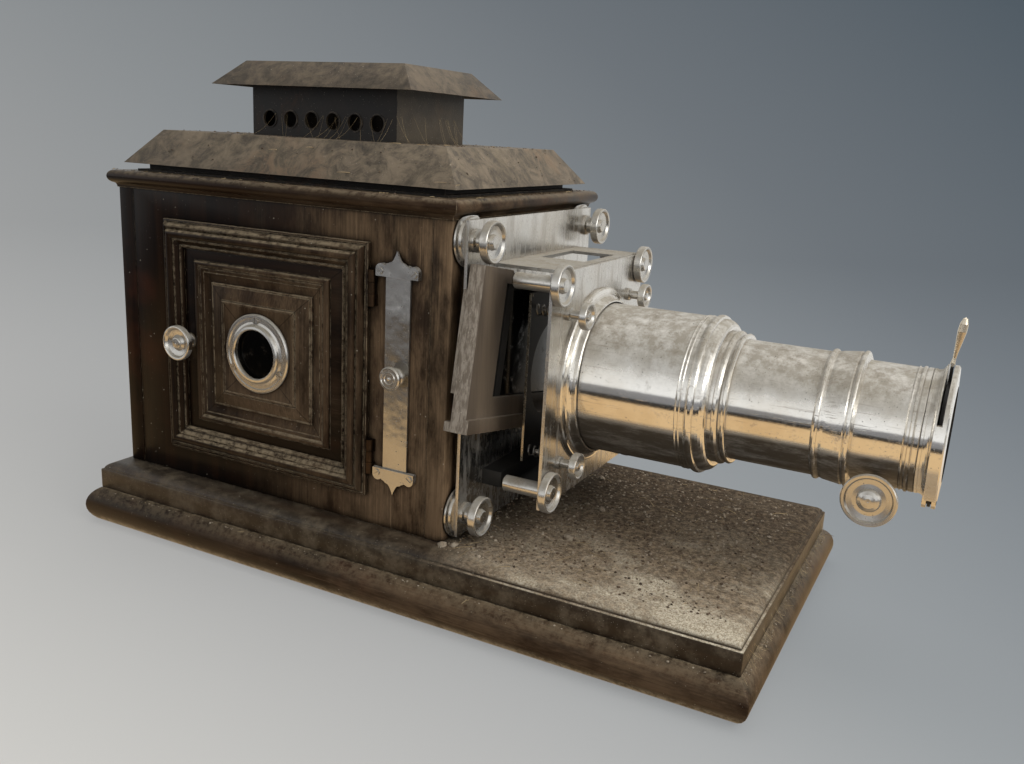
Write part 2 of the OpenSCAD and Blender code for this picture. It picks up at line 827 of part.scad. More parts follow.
// Turn button on the inside, stored upright, clear of the panel
module door_catch() {
    color(brass) on_near(knob_x, door_z) translate([0, 0, -wall_t - gap - 2.4]) difference() {
        union() {
            cylinder(r = 5, h = 2.4, $fn = 32);
            translate([-3.5, 0, 0]) cube([7, 24, 2.4]);
        }
        translate([0, 0, -1]) cylinder(r = knob_pin_r + EPS, h = 5);
    }
}

module vent_strip() {
    l = strip_show + 2 * strip_tuck;
    color(nickel) difference() {
        translate([strip_x - strip_w / 2, strip_y - strip_t, strip_z - l / 2])
            cube([strip_w, strip_t, l]);
        translate([strip_x, strip_y + 1, strip_z]) rotate([90, 0, 0])
            cylinder(r = 1.6 + fit, h = 4, $fn = 24);
    }
}

// Small turned knob with rings on its face
module strip_knob() {
    r = strip_knob_r;
    color(nickel) turned_out(strip_x, strip_y, strip_z, [
        [0, -6], [1.6, -6], [1.6, strip_t], [r - 2, strip_t], [r - 2, strip_t + 1.2],
        [r - 3.2, strip_t + 2], [r - 3.6, strip_t + 4.2], [r - 1.6, strip_t + 5.6],
        [r, strip_t + 6.4], [r, strip_t + 8], [r - 0.8, strip_t + 8.8], [r - 1.7, strip_t + 8.8],
        [r - 2.2, strip_t + 8.1], [r - 3.1, strip_t + 8.1], [r - 3.6, strip_t + 8.9],
        [r - 4.3, strip_t + 8.9], [r - 4.8, strip_t + 8.2], [1.4, strip_t + 8.2],
        [1, strip_t + 9], [0, strip_t + 9.2]
    ]);
}

// Lobed keepers at both ends of the strip, each with two screws
module strip_keepers() {
    half = strip_w / 2 + 7;
    cover = strip_t + 2 * gap + 1.6;
    color(nickel) for (s = [-1, 1])
        on_near(strip_x, strip_z + s * (strip_show / 2)) scale([1, s, 1]) {
            difference() {
                linear_extrude(cover) difference() {
                    union() {
                        translate([-half, 0.6]) square([2 * half, 4.4]);
                        polygon([[half - 4, 5 - EPS], [5, 12], [-5, 12], [4 - half, 5 - EPS]]);
                        translate([0, 11]) circle(r = 5.5, $fn = 32);
                        for (m = [-1, 1]) translate([m * (half - 4), 5]) circle(r = 4, $fn = 32);
                    }
                    for (m = [-1, 1]) translate([m * (half - 7), 12.8]) circle(r = 4.4, $fn = 32);
                }
                translate([-strip_w / 2 - gap, -1, -1])
                    cube([strip_w + 2 * gap, strip_tuck + strip_travel + 3, strip_t + 2 * gap + 1]);
            }
            for (m = [-1, 1]) translate([m * (half - 3.4), 4, cover - EPS]) difference() {
                cylinder(r = 2.3, h = 0.9, $fn = 24);
                rotate(35 * m) translate([-3, -0.35, 0.4]) cube([6, 0.7, 1]);
            }
        }
}

// Rear plate of the stage, with the light opening and four stud holes
module rear_plate() {
    color(nickel) difference() {
        translate([rear_x, -rear_hw, rear_low]) cube([plate_t, 2 * rear_hw, rear_high - rear_low]);
        translate([rear_x - 1, 0, axis_z]) rotate([0, 90, 0]) cylinder(r = light_r, h = plate_t + 2);
        for (y = [-1, 1], z = [rear_stud_low, rear_stud_top])
            translate([rear_x - 1, y * rear_stud_y, z]) rotate([0, 90, 0])
                cylinder(r = thread_r + 0.2, h = plate_t + 2);
    }
}

// Round bosses on the case front, each with a threaded stud and a dark spacer
module rear_bosses() {
    color(nickel) for (y = [-1, 1], z = [rear_stud_low, rear_stud_top]) {
        intersection() {
            turned(front_x, y * rear_stud_y, z, [
                [0, 0], [boss_r - 1.5, 0], [boss_r, 1.2], [boss_r, 2.4], [boss_r - 2.5, 3],
                [boss_r - 3, boss_t], [0, boss_t]
            ]);
            translate([front_x, case_w, case_top - gap]) rotate([90, 0, 0]) linear_extrude(2 * case_w)
                polygon([
                    [-1, -case_h], [boss_t + 1, -case_h], [boss_t + 1, 0], [cove_out + 1.6, 0],
                    [1.1, -cove_h], [-1, -cove_h]
                ]);
        }
        turned(front_x + boss_t - EPS, y * rear_stud_y, z, [
            [0, 0], [thread_r, 0], [thread_r, plate_t + nut_off + nut_t - 2.7],
            [thread_r - 1, plate_t + nut_off + nut_t - 1.7], [0, plate_t + nut_off + nut_t - 1.7]
        ]);
        turned(rear_face, y * rear_stud_y, z, [
            [thread_r - EPS, 0], [7.5, 0], [7.5, 2.5], [6, 3.5], [6, nut_off - gap],
            [thread_r - EPS, nut_off - gap]
        ]);
    }
}

// Large dished thumb nut with a blind hole for its stud
module thumb_nut(x, y, z) {
    color(nickel) difference() {
        turned(x, y, z, wheel(nut_r, nut_t, 4.6));
        translate([x - 1, y, z]) rotate([0, 90, 0]) cylinder(r = thread_r + fit, h = nut_t - 1.4 + 1);
    }
}

module rear_nut_1() thumb_nut(rear_nut_x, -rear_stud_y, rear_stud_top);
module rear_nut_2() thumb_nut(rear_nut_x, rear_stud_y, rear_stud_top);
module rear_nut_3() thumb_nut(rear_nut_x, -rear_stud_y, rear_stud_low);
module rear_nut_4() thumb_nut(rear_nut_x, rear_stud_y, rear_stud_low);
module front_nut_1() thumb_nut(front_nut_x, -stud_y, stud_top);
module front_nut_2() thumb_nut(front_nut_x, stud_y, stud_top);
module front_nut_3() thumb_nut(front_nut_x, -stud_y, stud_low);
module front_nut_4() thumb_nut(front_nut_x, stud_y, stud_low);

// Lower sill of the stage: a floor plate with the bar on it that stops the carrier
module stage_sill() {
    color(dark_wood) {
        translate([rear_face, sill_y, front_low + 1]) cube([stage_gap, top_far - sill_y, sill_t]);
        translate([rear_face, -rest_hw, front_low + 1 + sill_t - EPS])
            cube([rest_t, 2 * rest_hw, carrier_clear - front_low - 1 - sill_t]);
    }
}

// Flat frame that closes the top of the stage, with a slot for a single slide
module stage_top() {
    z = stud_top + stud_r + gap;
    color(nickel) translate([rear_face, 0, z]) difference() {
        translate([0, top_near, 0]) cube([stage_gap, top_far - top_near, front_high - z + 0.4]);
        translate([slot_in, slot_near, -1]) cube([stage_gap - 2 * slot_in, slot_far - slot_near, 10]);
    }
}

// Turned studs behind the front plate; their threads pass through it
module stage_studs() {
    color(nickel) for (y = [-1, 1], z = [stud_low, stud_top]) turned(front_back - stud_l, y * stud_y, z, [
        [0, 0], [stud_r - 0.8, 0], [stud_r, 0.8], [stud_r, stud_l], [thread_r, stud_l],
        [thread_r, stud_l + plate_t + gap + nut_t - 2.6], [thread_r - 1, stud_l + plate_t + nut_t - 1.4],
        [0, stud_l + plate_t + nut_t - 1.4]
    ]);
}

module front_plate() {
    color(nickel) {
        difference() {
            translate([front_back, -front_hw, front_low])
                cube([plate_t, 2 * front_hw, front_high - front_low]);
            translate([front_back - 1, 0, axis_z]) rotate([0, 90, 0])
                cylinder(r = light_r, h = plate_t + 2);
            for (y = [-1, 1], z = [stud_low, stud_top])
                translate([front_back - 1, y * stud_y, z]) rotate([0, 90, 0])
                    cylinder(r = thread_r + 0.2, h = plate_t + 2);
            for (y = [-1, 1], z = [-1, 1])
                translate([front_back - 1, y * screw_y, axis_z + z * screw_dz]) rotate([0, 90, 0])
                    cylinder(r = 2.2, h = plate_t + 2);
        }
        for (y = [-1, 1], z = [spring_low, spring_top])
            translate([pressure_x + pressure_t + 7, y * spring_y, z]) rotate([0, 90, 0])
                cylinder(r = pin_r, h = front_back - pressure_x - pressure_t - 7 + EPS, $fn = 32);
    }
}

// Four small thumb screws with long stems round the lens flange
module flange_screws() {
    color(nickel) for (y = [-1, 1], z = [-1, 1])
        turned(front_back - 4, y * screw_y, axis_z + z * screw_dz, concat(
            [
                [0, 0], [1, 0], [2, 1], [2, 4 + plate_t], [4.4, 4 + plate_t], [4.4, 6.2 + plate_t],
                [3, 6.8 + plate_t], [3, 4 + plate_t + screw_stem - 1]
            ],
            [for (p = wheel(screw_knob_r, 5.4, 3)) if (p[0] > 3.2) [p[0], p[1] + 4 + plate_t + screw_stem]],
            [for (p = wheel(screw_knob_r, 5.4, 3)) if (p[1] > 2 && p[0] <= 3.2)
                [p[0], p[1] + 4 + plate_t + screw_stem]]
        ));
}

// Blackened brass cell of the condenser, held in the front board
module condenser_cell() {
    x0 = front_x - 36;
    x1 = front_x + boss_t;
    color(black) difference() {
        translate([x0, 0, axis_z]) rotate([0, 90, 0]) cylinder(r = cell_r, h = x1 - x0);
        translate([x0 + 2, 0, axis_z]) rotate([0, 90, 0]) cylinder(r = lens_edge_r, h = x1 - x0 - 4);
        translate([x0 - 1, 0, axis_z]) rotate([0, 90, 0]) cylinder(r = light_r - 1, h = x1 - x0 + 2);
    }
}

// Section of a plano-convex lens of radius r, edge e and crown c
function plano(r, e, c) = let (R = (r * r + c * c) / (2 * c), a = asin(r / R)) concat(
    [[0, 0], [r, 0], [r, e]],
    [for (i = [1:8]) [R * sin(a * (1 - i / 8)), e + c - R + R * cos(a * (1 - i / 8))]]
);

module condenser_lenses() {
    x0 = front_x - 34;
    x1 = front_x + boss_t - 2;
    color(glass) {
        turned(x0, 0, axis_z, plano(lens_edge_r - fit, 3, 12));
        translate([x0 + x1, 0, 0]) mirror([1, 0, 0])
            turned(x0, 0, axis_z, plano(lens_edge_r - fit, 3, 12));
    }
}

// Everything on the carrier is drawn level, then turned about its near lower edge
module on_carrier() {
    translate([0, carrier_y, carrier_z]) rotate([-carrier_tilt, 0, 0]) children();
}

module carrier_frame() {
    low = carrier_low;
    color(carrier_wood) on_carrier() {
        difference() {
            translate([carrier_body_x, 0, 0]) rotate([90, 0, 90]) linear_extrude(carrier_t) polygon([
                [0, 0], [carrier_l, 0], [carrier_l, carrier_h], [carrier_l - 38, carrier_h],
                [carrier_l - 45, carrier_neck], [45, carrier_neck], [38, carrier_h], [0, carrier_h]
            ]);
            translate([carrier_body_x - 1, carrier_end, low])
                cube([carrier_t + 2, window_end - carrier_end, carrier_window]);
            translate([groove_x, carrier_end - 2, low - groove_d])
                cube([groove_w, window_end - carrier_end + 4, carrier_window + 2 * groove_d]);
        }
        translate([carrier_x, 0, -carrier_foot])
            cube([carrier_front - carrier_x, carrier_l, carrier_foot + EPS]);
        translate([carrier_front - EPS, 0, -carrier_foot]) cube([2, carrier_l, carrier_foot + 3]);
        translate([carrier_x + 1.6, 0.5, 18]) cube([carrier_body_x - carrier_x - 1.6 + EPS, 6, 66]);
        translate([carrier_x + 1.6, carrier_l - 6.5, 18])
            cube([carrier_body_x - carrier_x - 1.6 + EPS, 6, 66]);
    }
}

// Inner frame that runs in the carrier's grooves and holds one slide
module slide_holder() {
    h = carrier_window + 2 * groove_d - 2 * gap;
    color(dark_wood) on_carrier()
        translate([groove_x + gap, holder_y, carrier_low - groove_d + gap]) difference() {
            cube([groove_w - 2 * gap, holder_w, h]);
            translate([-1, 8, 7]) cube([groove_w, holder_w - 16, h - 14]);
            translate([
                groove_w - 2 * gap - 2.2, (holder_w - slide_side) / 2 - 0.2, (h - slide_side) / 2 - 0.2
            ]) cube([3, slide_side + 0.4, slide_side + 0.4]);
        }
}

module slide_glass() {
    h = carrier_window + 2 * groove_d - 2 * gap;
    color(glass) on_carrier() translate([
        groove_x + groove_w - gap - 2.15, holder_y + (holder_w - slide_side) / 2,
        carrier_low - groove_d + gap + (h - slide_side) / 2
    ]) cube([2, slide_side, slide_side]);
}

// Sprung plate that holds the carrier against the rear plate
module pressure_plate() {
    h = pressure_high - pressure_low;
    color(nickel) difference() {
        union() {
            translate([pressure_x, -pressure_hw, pressure_low])
                cube([pressure_t, 2 * pressure_hw, h]);
            translate([pressure_x, -pressure_hw, pressure_high - EPS])
                cube([pressure_t + 1.2, 2 * pressure_hw, 2.4]);
        }
        translate([pressure_x - 1, 0, axis_z]) rotate([0, 90, 0])
            cylinder(r = 36, h = pressure_t + 4);
    }
}

// One round coil from x0 to x1, its least gap to itself printed
module coil(x0, x1, y, z) {
    steps = spring_turns * 8;
    sides = 6;
    run = x1 - x0;
    least = run / spring_turns - 2 * spring_wire;
    points = [
        for (i = [0:steps], k = [0:sides - 1])
            let (a = 45 * i, b = 360 * k / sides, r = spring_r + spring_wire * cos(b))
                [x0 + run * i / steps + spring_wire * sin(b), y + r * cos(a), z + r * sin(a)]
    ];
    faces = concat(
        [for (i = [0:steps - 1], k = [0:sides - 1]) let (a = i * sides + k, b = i * sides + (k + 1) % sides)
            each [[a, b, b + sides], [a, b + sides, a + sides]]],
        [[for (k = [sides - 1:-1:0]) k]],
        [[for (k = [0:sides - 1]) steps * sides + k]]
    );
    echo(coil_gap = least);
    polyhedron(points, faces);
}

module pressure_springs() {
    color(nickel) for (y = [-1, 1], z = [spring_low, spring_top])
        coil(pressure_x + pressure_t + spring_wire + gap, front_back - gap - spring_wire,
            y * spring_y, z);
}

module lens_flange() {
    color(nickel) turned(front_face, 0, axis_z, concat(
        [[main_r - main_wall, 0], [flange_r, 0], [flange_r, 1.8], [flange_r - 1, 2.6]],
        [for (i = [0:6]) [
            main_r + 2.6 + (flange_r - main_r - 4.6) * (1 - sin(15 * i)),
            2.6 + (flange_l - 6.2) * (1 - cos(15 * i))
        ]],
        arc([main_r + 1.2, flange_l - 2], 1.5, 30, 150, 4),
        [[main_r - EPS, flange_l], [main_r - main_wall, flange_l]]
    ));
}

// Main tube with its large collar and stepped ring, bored for the draw tube
module main_tube() {
    x0 = flange_end;
    x1 = main_end - x0;
    x2 = collar_end - x0;
    x3 = ring_end - x0;
    r = main_r;
    color(nickel) turned(x0, 0, axis_z, concat(
        [
            [r - main_wall, 0], [r, 0], [r, x1 - 6], [r + 0.6, x1 - 5.4], [r, x1 - 4.8], [r, x1 - 3.6],
            [r + 0.6, x1 - 3], [r, x1 - 2.4], [r, x1]
        ],
        arc([r - 1.4, x1 + 3.4], 3.2, -40, 40, 5),
        [for (i = [0:6]) [
            draw_r + 5.5 + (r - draw_r - 6) * cos(15 * i), x1 + 6 + (collar_l - 7) * sin(15 * i)
        ]],
        [[draw_r + 4, x2 - 1], [draw_r + 4, x2 + 1]],
        arc([draw_r + 3, x2 + 3], 1.8, -60, 60, 4),
        [[draw_r + 3.2, x2 + 5.2], [draw_r + 1.8, x2 + 5.8], [draw_r + 1.8, x3 - 2.8]],
        arc([draw_r + 2.2, x3 - 1.4], 1.4, -80, 80, 4),
        [[draw_r + fit, x3], [draw_r + fit, x1 + 2], [r - main_wall, x1 - 4]]
    ));
}

// Draw tube, its inner stop ring and the moulded band that carries the sleeve
module draw_tube() {
    x0 = main_end - draw_in;
    x1 = band_x - x0;
    x2 = band_end - x0;
    r = draw_r;
    color(nickel) difference() {
        turned(x0, 0, axis_z, concat(
            [[r - tube_wall, 0], [r, 0], [r, x1]],
            arc([r + 0.3, x1 + 2.4], 1.7, -70, 70, 5),
            [[r + 0.6, x1 + 5.2], [r + 1.2, x1 + 7], [r + 2.6, x2 - 6], [r + 2, x2 - 5]],
            arc([r + 1.8, x2 - 3], 1.6, -60, 60, 5),
            [
                [r + 0.6, x2 - 0.8], [sleeve_r + 0.4, x2], [sleeve_bore, x2], [sleeve_bore, x1 + 2],
                [r - tube_wall, x1 - 4]
            ]
        ));
        keyway(band_x - 5, band_l + 6);
    }
}

// Keyway for the rack along the bottom of a bore
module keyway(x, l) {
    translate([x, -rack_w / 2 - gap, axis_z - rack_pitch_r - gear_m - gap])
        cube([l, rack_w + 2 * gap, 10]);
}

// Sleeve with the slot for the rack below and fine rings at its front end
module lens_sleeve() {
    l = sleeve_l;
    r = sleeve_r;
    color(nickel) difference() {
        turned(band_end, 0, axis_z, [
            [sleeve_bore, 0], [r, 0], [r, l - 9], [r + 0.7, l - 8.3], [r, l - 7.6], [r, l - 6.4],
            [r + 1, l - 5.6], [r + 1, l - 4.4], [r, l - 3.8], [r + 0.5, l - 3], [r + 0.5, l - 0.6],
            [r, l], [sleeve_bore, l]
        ]);
        keyway(band_end - 1, l + 2);
        translate([pinion_x - pinion_r - 2, -rack_w / 2 - gap, axis_z - r - 3])
            cube([2 * pinion_r + 4, rack_w + 2 * gap, 12]);
        translate([pinion_x, 0, pinion_z]) rotate([90, 0, 0])
            cylinder(r = shaft_r + gap, h = 2 * r, center = true, $fn = 40);
    }
}

// Saddle under the sleeve that carries the pinion shaft
module pinion_housing() {
    l = 19;
    w = 2 * housing_hw;
    top = axis_z - sleeve_r;
    color(nickel) difference() {
        intersection() {
            translate([pinion_x - l / 2, -w / 2, pinion_z - pinion_r - 3.4]) cube([l, w, 16]);
            translate([pinion_x, 0, pinion_z]) rotate([90, 0, 0])
                cylinder(r = 10.4, h = w + 2, center = true);
        }
        translate([band_end, 0, axis_z]) rotate([0, 90, 0]) cylinder(r = sleeve_r, h = sleeve_l);
        translate([pinion_x, 0, pinion_z]) rotate([90, 0, 0])
            cylinder(r = shaft_r + fit, h = w + 4, center = true);
        translate([pinion_x - pinion_r - 2, -rack_w / 2 - gap, pinion_z - pinion_r - 1.6])
            cube([2 * pinion_r + 4, rack_w + 2 * gap, top - pinion_z + pinion_r + 6]);
    }
}

function involute(t) = tan(t) - t * PI / 180;
function polar(r, a) = [r * sin(a), r * cos(a)];

// Pinion tooth flanks follow the involute of a 20 degree gear
module pinion_section() {
    pr = pinion_r;
    br = pr * cos(20);
    tip = pr + gear_m;
    root = pr - 1.1 * gear_m;
    thick = 90 / pinion_n - backlash / 2 / pr * 180 / PI / 2;
    start = thick + involute(20) * 180 / PI;
    flank = [
        for (i = [0:5]) let (r = max(br, root) + (tip - max(br, root)) * i / 5, t = acos(br / r))
            polar(r, start - involute(t) * 180 / PI)
    ];
    for (k = [0:pinion_n - 1]) rotate(360 * k / pinion_n) polygon(concat(
        [polar(root, start)], flank,
        [for (i = [5:-1:0]) [-flank[i][0], flank[i][1]]], [polar(root, -start)], [[0, 0]]
    ));
    circle(r = root + TINY);
}

// Rack of straight 20 degree teeth, its middle tooth gap over the pinion
module rack_section(n) {
    add = 0.65 * gear_m;
    ded = 1.2 * gear_m;
    slope = tan(20);
    half = rack_pitch / 4 - backlash / 4;
    polygon(concat(
        [for (i = [-n:n - 1]) let (x = rack_pitch * (i + 0.5)) each [
            [x - half - ded * slope, ded], [x - half + add * slope, -add],
            [x + half - add * slope, -add], [x + half + ded * slope, ded]
        ]],
        [[rack_pitch * n, ded], [rack_pitch * n, 2.6], [-rack_pitch * n, 2.6], [-rack_pitch * n, ded]]
    ));
}

module pinion_shaft() {
    color(nickel) translate([pinion_x, 0, pinion_z]) rotate([90, 0, 0]) {
        linear_extrude(rack_w - 2 * gap, center = true) pinion_section();
        cylinder(r = shaft_r, h = 2 * focus_knob_y - 6, center = true);
    }
}

module focus_knobs() {
    section = concat(
        [[shaft_r, 0], [6, 0], [6.5, 1.4], [focus_knob_r - 2.6, 2.2]],
        arc([focus_knob_r - 1.6, 3.6], 1.6, -70, 60, 5),
        [
            [focus_knob_r - 2.4, 4.8], [focus_knob_r - 3.4, 3.5], [focus_knob_r * 0.6, 3],
            [focus_knob_r * 0.44, 3.3], [focus_knob_r * 0.43, 4.4], [focus_knob_r * 0.38, 5.4],
            [focus_knob_r * 0.26, 6.4], [focus_knob_r * 0.12, 6.9], [0, 7], [0, 5], [shaft_r, 5]
        ]
    );
    color(nickel) for (s = [0, 180]) translate([pinion_x, 0, pinion_z]) rotate([90, 0, s])
        translate([0, 0, focus_knob_y - 6 - 2]) rotate_extrude() polygon(section);
}

// Lens tube with its rack, which runs in the slot of the sleeve
module lens_tube() {
    x0 = band_x - 20;
    x1 = hood_x + 6;
    color(nickel) {
        tube(x0, x1, lens_r, hood_bore);
        translate([pinion_x, 0, axis_z - rack_pitch_r]) rotate([90, 0, 0])
            linear_extrude(rack_w, center = true) intersection() {
                rack_section(rack_teeth);
                translate([-rack_teeth * rack_pitch, -3]) square([(rack_teeth + 1.5) * rack_pitch, 8]);
            }
    }
}

// Front hood: body, flange, slot for the flasher and two lugs for its pivot
module lens_hood() {
    l = hood_l;
    s0 = slot_x - hood_x;
    lug_t = 2.4;
    mouth = hood_bore - 1.4;
    color(nickel) difference() {
        union() {
            turned(hood_x, 0, axis_z, concat(
                [[lens_r + fit, 0], [sleeve_r + 0.5, 0], [sleeve_r + 0.5, 1.4]],
                [for (i = [0:5]) [
                    sleeve_r + 0.2 + (hood_r - sleeve_r - 1.8) * (1 - cos(18 * i)),
                    1.8 + (s0 - 3.6) * sin(18 * i)
                ]],
                [
                    [hood_r - 1, s0 - 1.2], [hood_r, s0 - 0.8], [hood_r, l - 1.4], [hood_r - 1, l - 0.6],
                    [hood_r - 5, l - 0.4], [mouth, l], [mouth, 6.5], [lens_r + fit, 6.5]
                ]
            ));
            for (x = [slot_x - lug_t, slot_x + slot_w])
                translate([x, -4, pivot_z]) cube([lug_t, 8, 8]);
            for (x = [slot_x - lug_t, slot_x + slot_w])
                translate([x, 0, pivot_z]) rotate([0, 90, 0]) cylinder(r = 4, h = lug_t);
        }
        // room for the blade inside, and the slot through the wall
        translate([slot_x, 0, axis_z]) rotate([0, 90, 0]) cylinder(r = hood_r - 3.4, h = slot_w);
        translate([slot_x, -hood_r - 5, axis_z + slot_end]) cube([slot_w, 2 * hood_r + 10, hood_r + 5]);
        translate([slot_x, 0, axis_z - 20]) cube([slot_w, hood_r + 5, hood_r]);
        translate([slot_x, -4.2, axis_z - hood_r - 12]) cube([slot_w, hood_r + 5, hood_r + 2]);
        translate([slot_x - 6, 0, pivot_z]) rotate([0, 90, 0])
            cylinder(r = 1.5 + fit, h = slot_w + 12, $fn = 32);
    }
}

module flasher() {
    disc_r = hood_bore + 2.2;
    color(nickel) {
        translate([blade_x, 0, axis_z]) rotate([0, 90, 0]) cylinder(r = disc_r, h = blade_t);
        translate([blade_x, -3.2, pivot_z]) cube([blade_t, 6.4, pivot_drop - disc_r + 4]);
        translate([blade_x, 0, pivot_z]) rotate([0, 90, 0]) cylinder(r = 3.2, h = blade_t);
        translate([slot_x - 2.6, 0, pivot_z]) rotate([0, 90, 0])
            cylinder(r = 1.5, h = slot_w + 5.2, $fn = 32);
        translate([blade_x, -2, axis_z + disc_r - 2]) cube([blade_t, 4, hood_r - disc_r + 4]);
        translate([blade_x + blade_t / 2, 0, axis_z + hood_r + 1]) rotate([0, 6, 0]) rotate_extrude($fn = 32)
            polygon([
                [0, 0], [1.5, 0], [1.2, 2], [1, 4], [1.3, 8], [2, handle_l * 0.5], [2.6, handle_l * 0.7],
                [2.4, handle_l * 0.86], [1.4, handle_l * 0.97], [0, handle_l]
            ]);
    }
}

module objective_lenses() {
    color(glass) {
        turned(hood_x - 4, 0, axis_z, plano(hood_bore, 3, 5));
        translate([2 * band_x + 6, 0, 0]) mirror([1, 0, 0])
            turned(band_x + 6, 0, axis_z, plano(hood_bore, 3, 5));
    }
}

// Sheet tray that slides in from the back, with a folded handle
module lamp_tray() {
    color(tin) {
        translate([tray_x, -tray_hw, tray_z]) cube([tray_l, 2 * tray_hw, tray_t]);
        for (y = [-tray_hw, tray_hw - tray_t]) translate([tray_x, y, tray_z]) cube([tray_l, tray_t, 9]);
        translate([tray_x - grip_l, -grip_hw, tray_z + 8]) cube([grip_l + EPS, 2 * grip_hw, tray_t]);
        translate([tray_x, -grip_hw, tray_z]) cube([tray_t, 2 * grip_hw, 8 + tray_t]);
    }
}

// Oil lamp on the tray: tank, filler, twin wick tubes, winders and reflector
module lamp() {
    x0 = back_x + tank_in;
    z0 = tray_z + tray_t;
    top = z0 + tank_h;
    wick_x = x0 + tank_l * 0.3;
    color(brass) {
        translate([x0, -tank_hw, z0]) cube([tank_l, 2 * tank_hw, tank_h]);
        translate([x0 + tank_l * 0.2, -tank_hw * 0.63, top - EPS]) cylinder(r = 8, h = 7);
        for (y = [-wick_y, wick_y]) {
            translate([wick_x, y - 3, top - EPS]) cube([tank_l / 2, 6, axis_z - 22 - top]);
            translate([wick_x, y, top + 10]) rotate([0, -90, 0]) cylinder(r = 1.8, h = wick_x - x0 + 18);
            translate([x0 - 18, y, top + 10]) rotate([0, -90, 0]) cylinder(r = 6, h = 3);
        }
        translate([x0 + 6, -2, top - EPS]) cube([3, 4, axis_z - top - 10]);
        turned(x0 + 6, 0, axis_z, [
            [0, 0], [reflector_r * 0.5, 2], [reflector_r, 9], [reflector_r, 10.4],
            [reflector_r * 0.5, 3.6], [0, 1.6]
        ]);
    }
}

base_board();
base_step();
corner_posts();
side_near();
side_far();
front_board();
back_frame();
cornice();
roof();
roof_collar();
chimney();
chimney_cap();
door_board();
door_outer_moulding();
door_centre();
window_bezel();
window_glass();
hinge_fixed();
hinge_moving();
door_knob();
door_catch();
vent_strip();
strip_knob();
strip_keepers();
rear_plate();
rear_bosses();
rear_nut_1();
rear_nut_2();
rear_nut_3();
rear_nut_4();
stage_sill();
stage_top();
stage_studs();
front_plate();
front_nut_1();
front_nut_2();
front_nut_3();
front_nut_4();
flange_screws();
condenser_cell();
condenser_lenses();
carrier_frame();
slide_holder();
slide_glass();
pressure_plate();
pressure_springs();
lens_flange();
main_tube();
draw_tube();
lens_sleeve();
pinion_housing();
lens_tube();
lens_hood();
objective_lenses();
flasher();
pinion_shaft();
focus_knobs();
lamp_tray();
lamp();
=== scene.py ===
import json
import math
import random

import bmesh
import bpy
from mathutils import Matrix, Vector


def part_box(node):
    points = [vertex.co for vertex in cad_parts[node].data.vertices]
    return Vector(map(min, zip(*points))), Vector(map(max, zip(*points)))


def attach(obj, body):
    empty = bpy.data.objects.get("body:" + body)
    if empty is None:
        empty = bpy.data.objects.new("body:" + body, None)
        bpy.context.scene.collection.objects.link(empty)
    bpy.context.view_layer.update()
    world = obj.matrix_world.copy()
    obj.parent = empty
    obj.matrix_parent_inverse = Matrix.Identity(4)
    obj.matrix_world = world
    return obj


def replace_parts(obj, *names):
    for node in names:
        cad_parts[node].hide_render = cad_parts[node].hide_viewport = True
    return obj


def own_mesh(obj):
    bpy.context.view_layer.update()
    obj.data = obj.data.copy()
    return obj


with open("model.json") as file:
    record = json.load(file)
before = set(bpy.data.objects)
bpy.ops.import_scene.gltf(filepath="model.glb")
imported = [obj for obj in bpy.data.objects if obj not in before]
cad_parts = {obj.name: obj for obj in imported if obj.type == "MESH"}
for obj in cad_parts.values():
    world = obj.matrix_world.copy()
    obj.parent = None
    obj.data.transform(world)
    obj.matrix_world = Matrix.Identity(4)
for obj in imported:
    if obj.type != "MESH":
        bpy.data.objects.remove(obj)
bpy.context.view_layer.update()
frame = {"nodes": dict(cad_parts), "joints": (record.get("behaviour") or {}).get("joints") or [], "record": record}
MM = 0.001

# The photograph's camera, worked out from the straight edges of the baseboard and the case
CAMERA_PLACE = Vector((352.3, -614.3, 316.1)) * MM
CAMERA_AZIMUTH = math.radians(26.94)
CAMERA_ELEVATION = math.radians(14.53)
CAMERA_ROLL = math.radians(3.06)
CAMERA_LENS = 33.56
SENSOR_WIDTH = 36
PICTURE_SHAPE = 1024 / 764

# Places on the lantern, from the frame
DOOR_FRAME = "door_outer_moulding"
CASE_LOW, CASE_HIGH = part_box("corner_posts")
STEP_LOW, STEP_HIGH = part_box("base_step")
DOOR_LOW, DOOR_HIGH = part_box(DOOR_FRAME)
DOOR_MIDDLE = (DOOR_LOW + DOOR_HIGH) / 2
ROOF_LOW, ROOF_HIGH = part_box("roof")
FLUE_LOW, FLUE_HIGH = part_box("chimney")
TUBE_LOW, TUBE_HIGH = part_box("main_tube")
BARREL_AXIS = (TUBE_LOW + TUBE_HIGH) / 2
BASE_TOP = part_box("base_board")[1].z
HOOD_RADIUS = 42 * MM
# How far the roof's slopes run in from its eaves
ROOF_SLOPE_RUN = 20.5 * MM
# Where the stage's coils stand on the front plate
SPRING_SEAT = 103.5 * MM


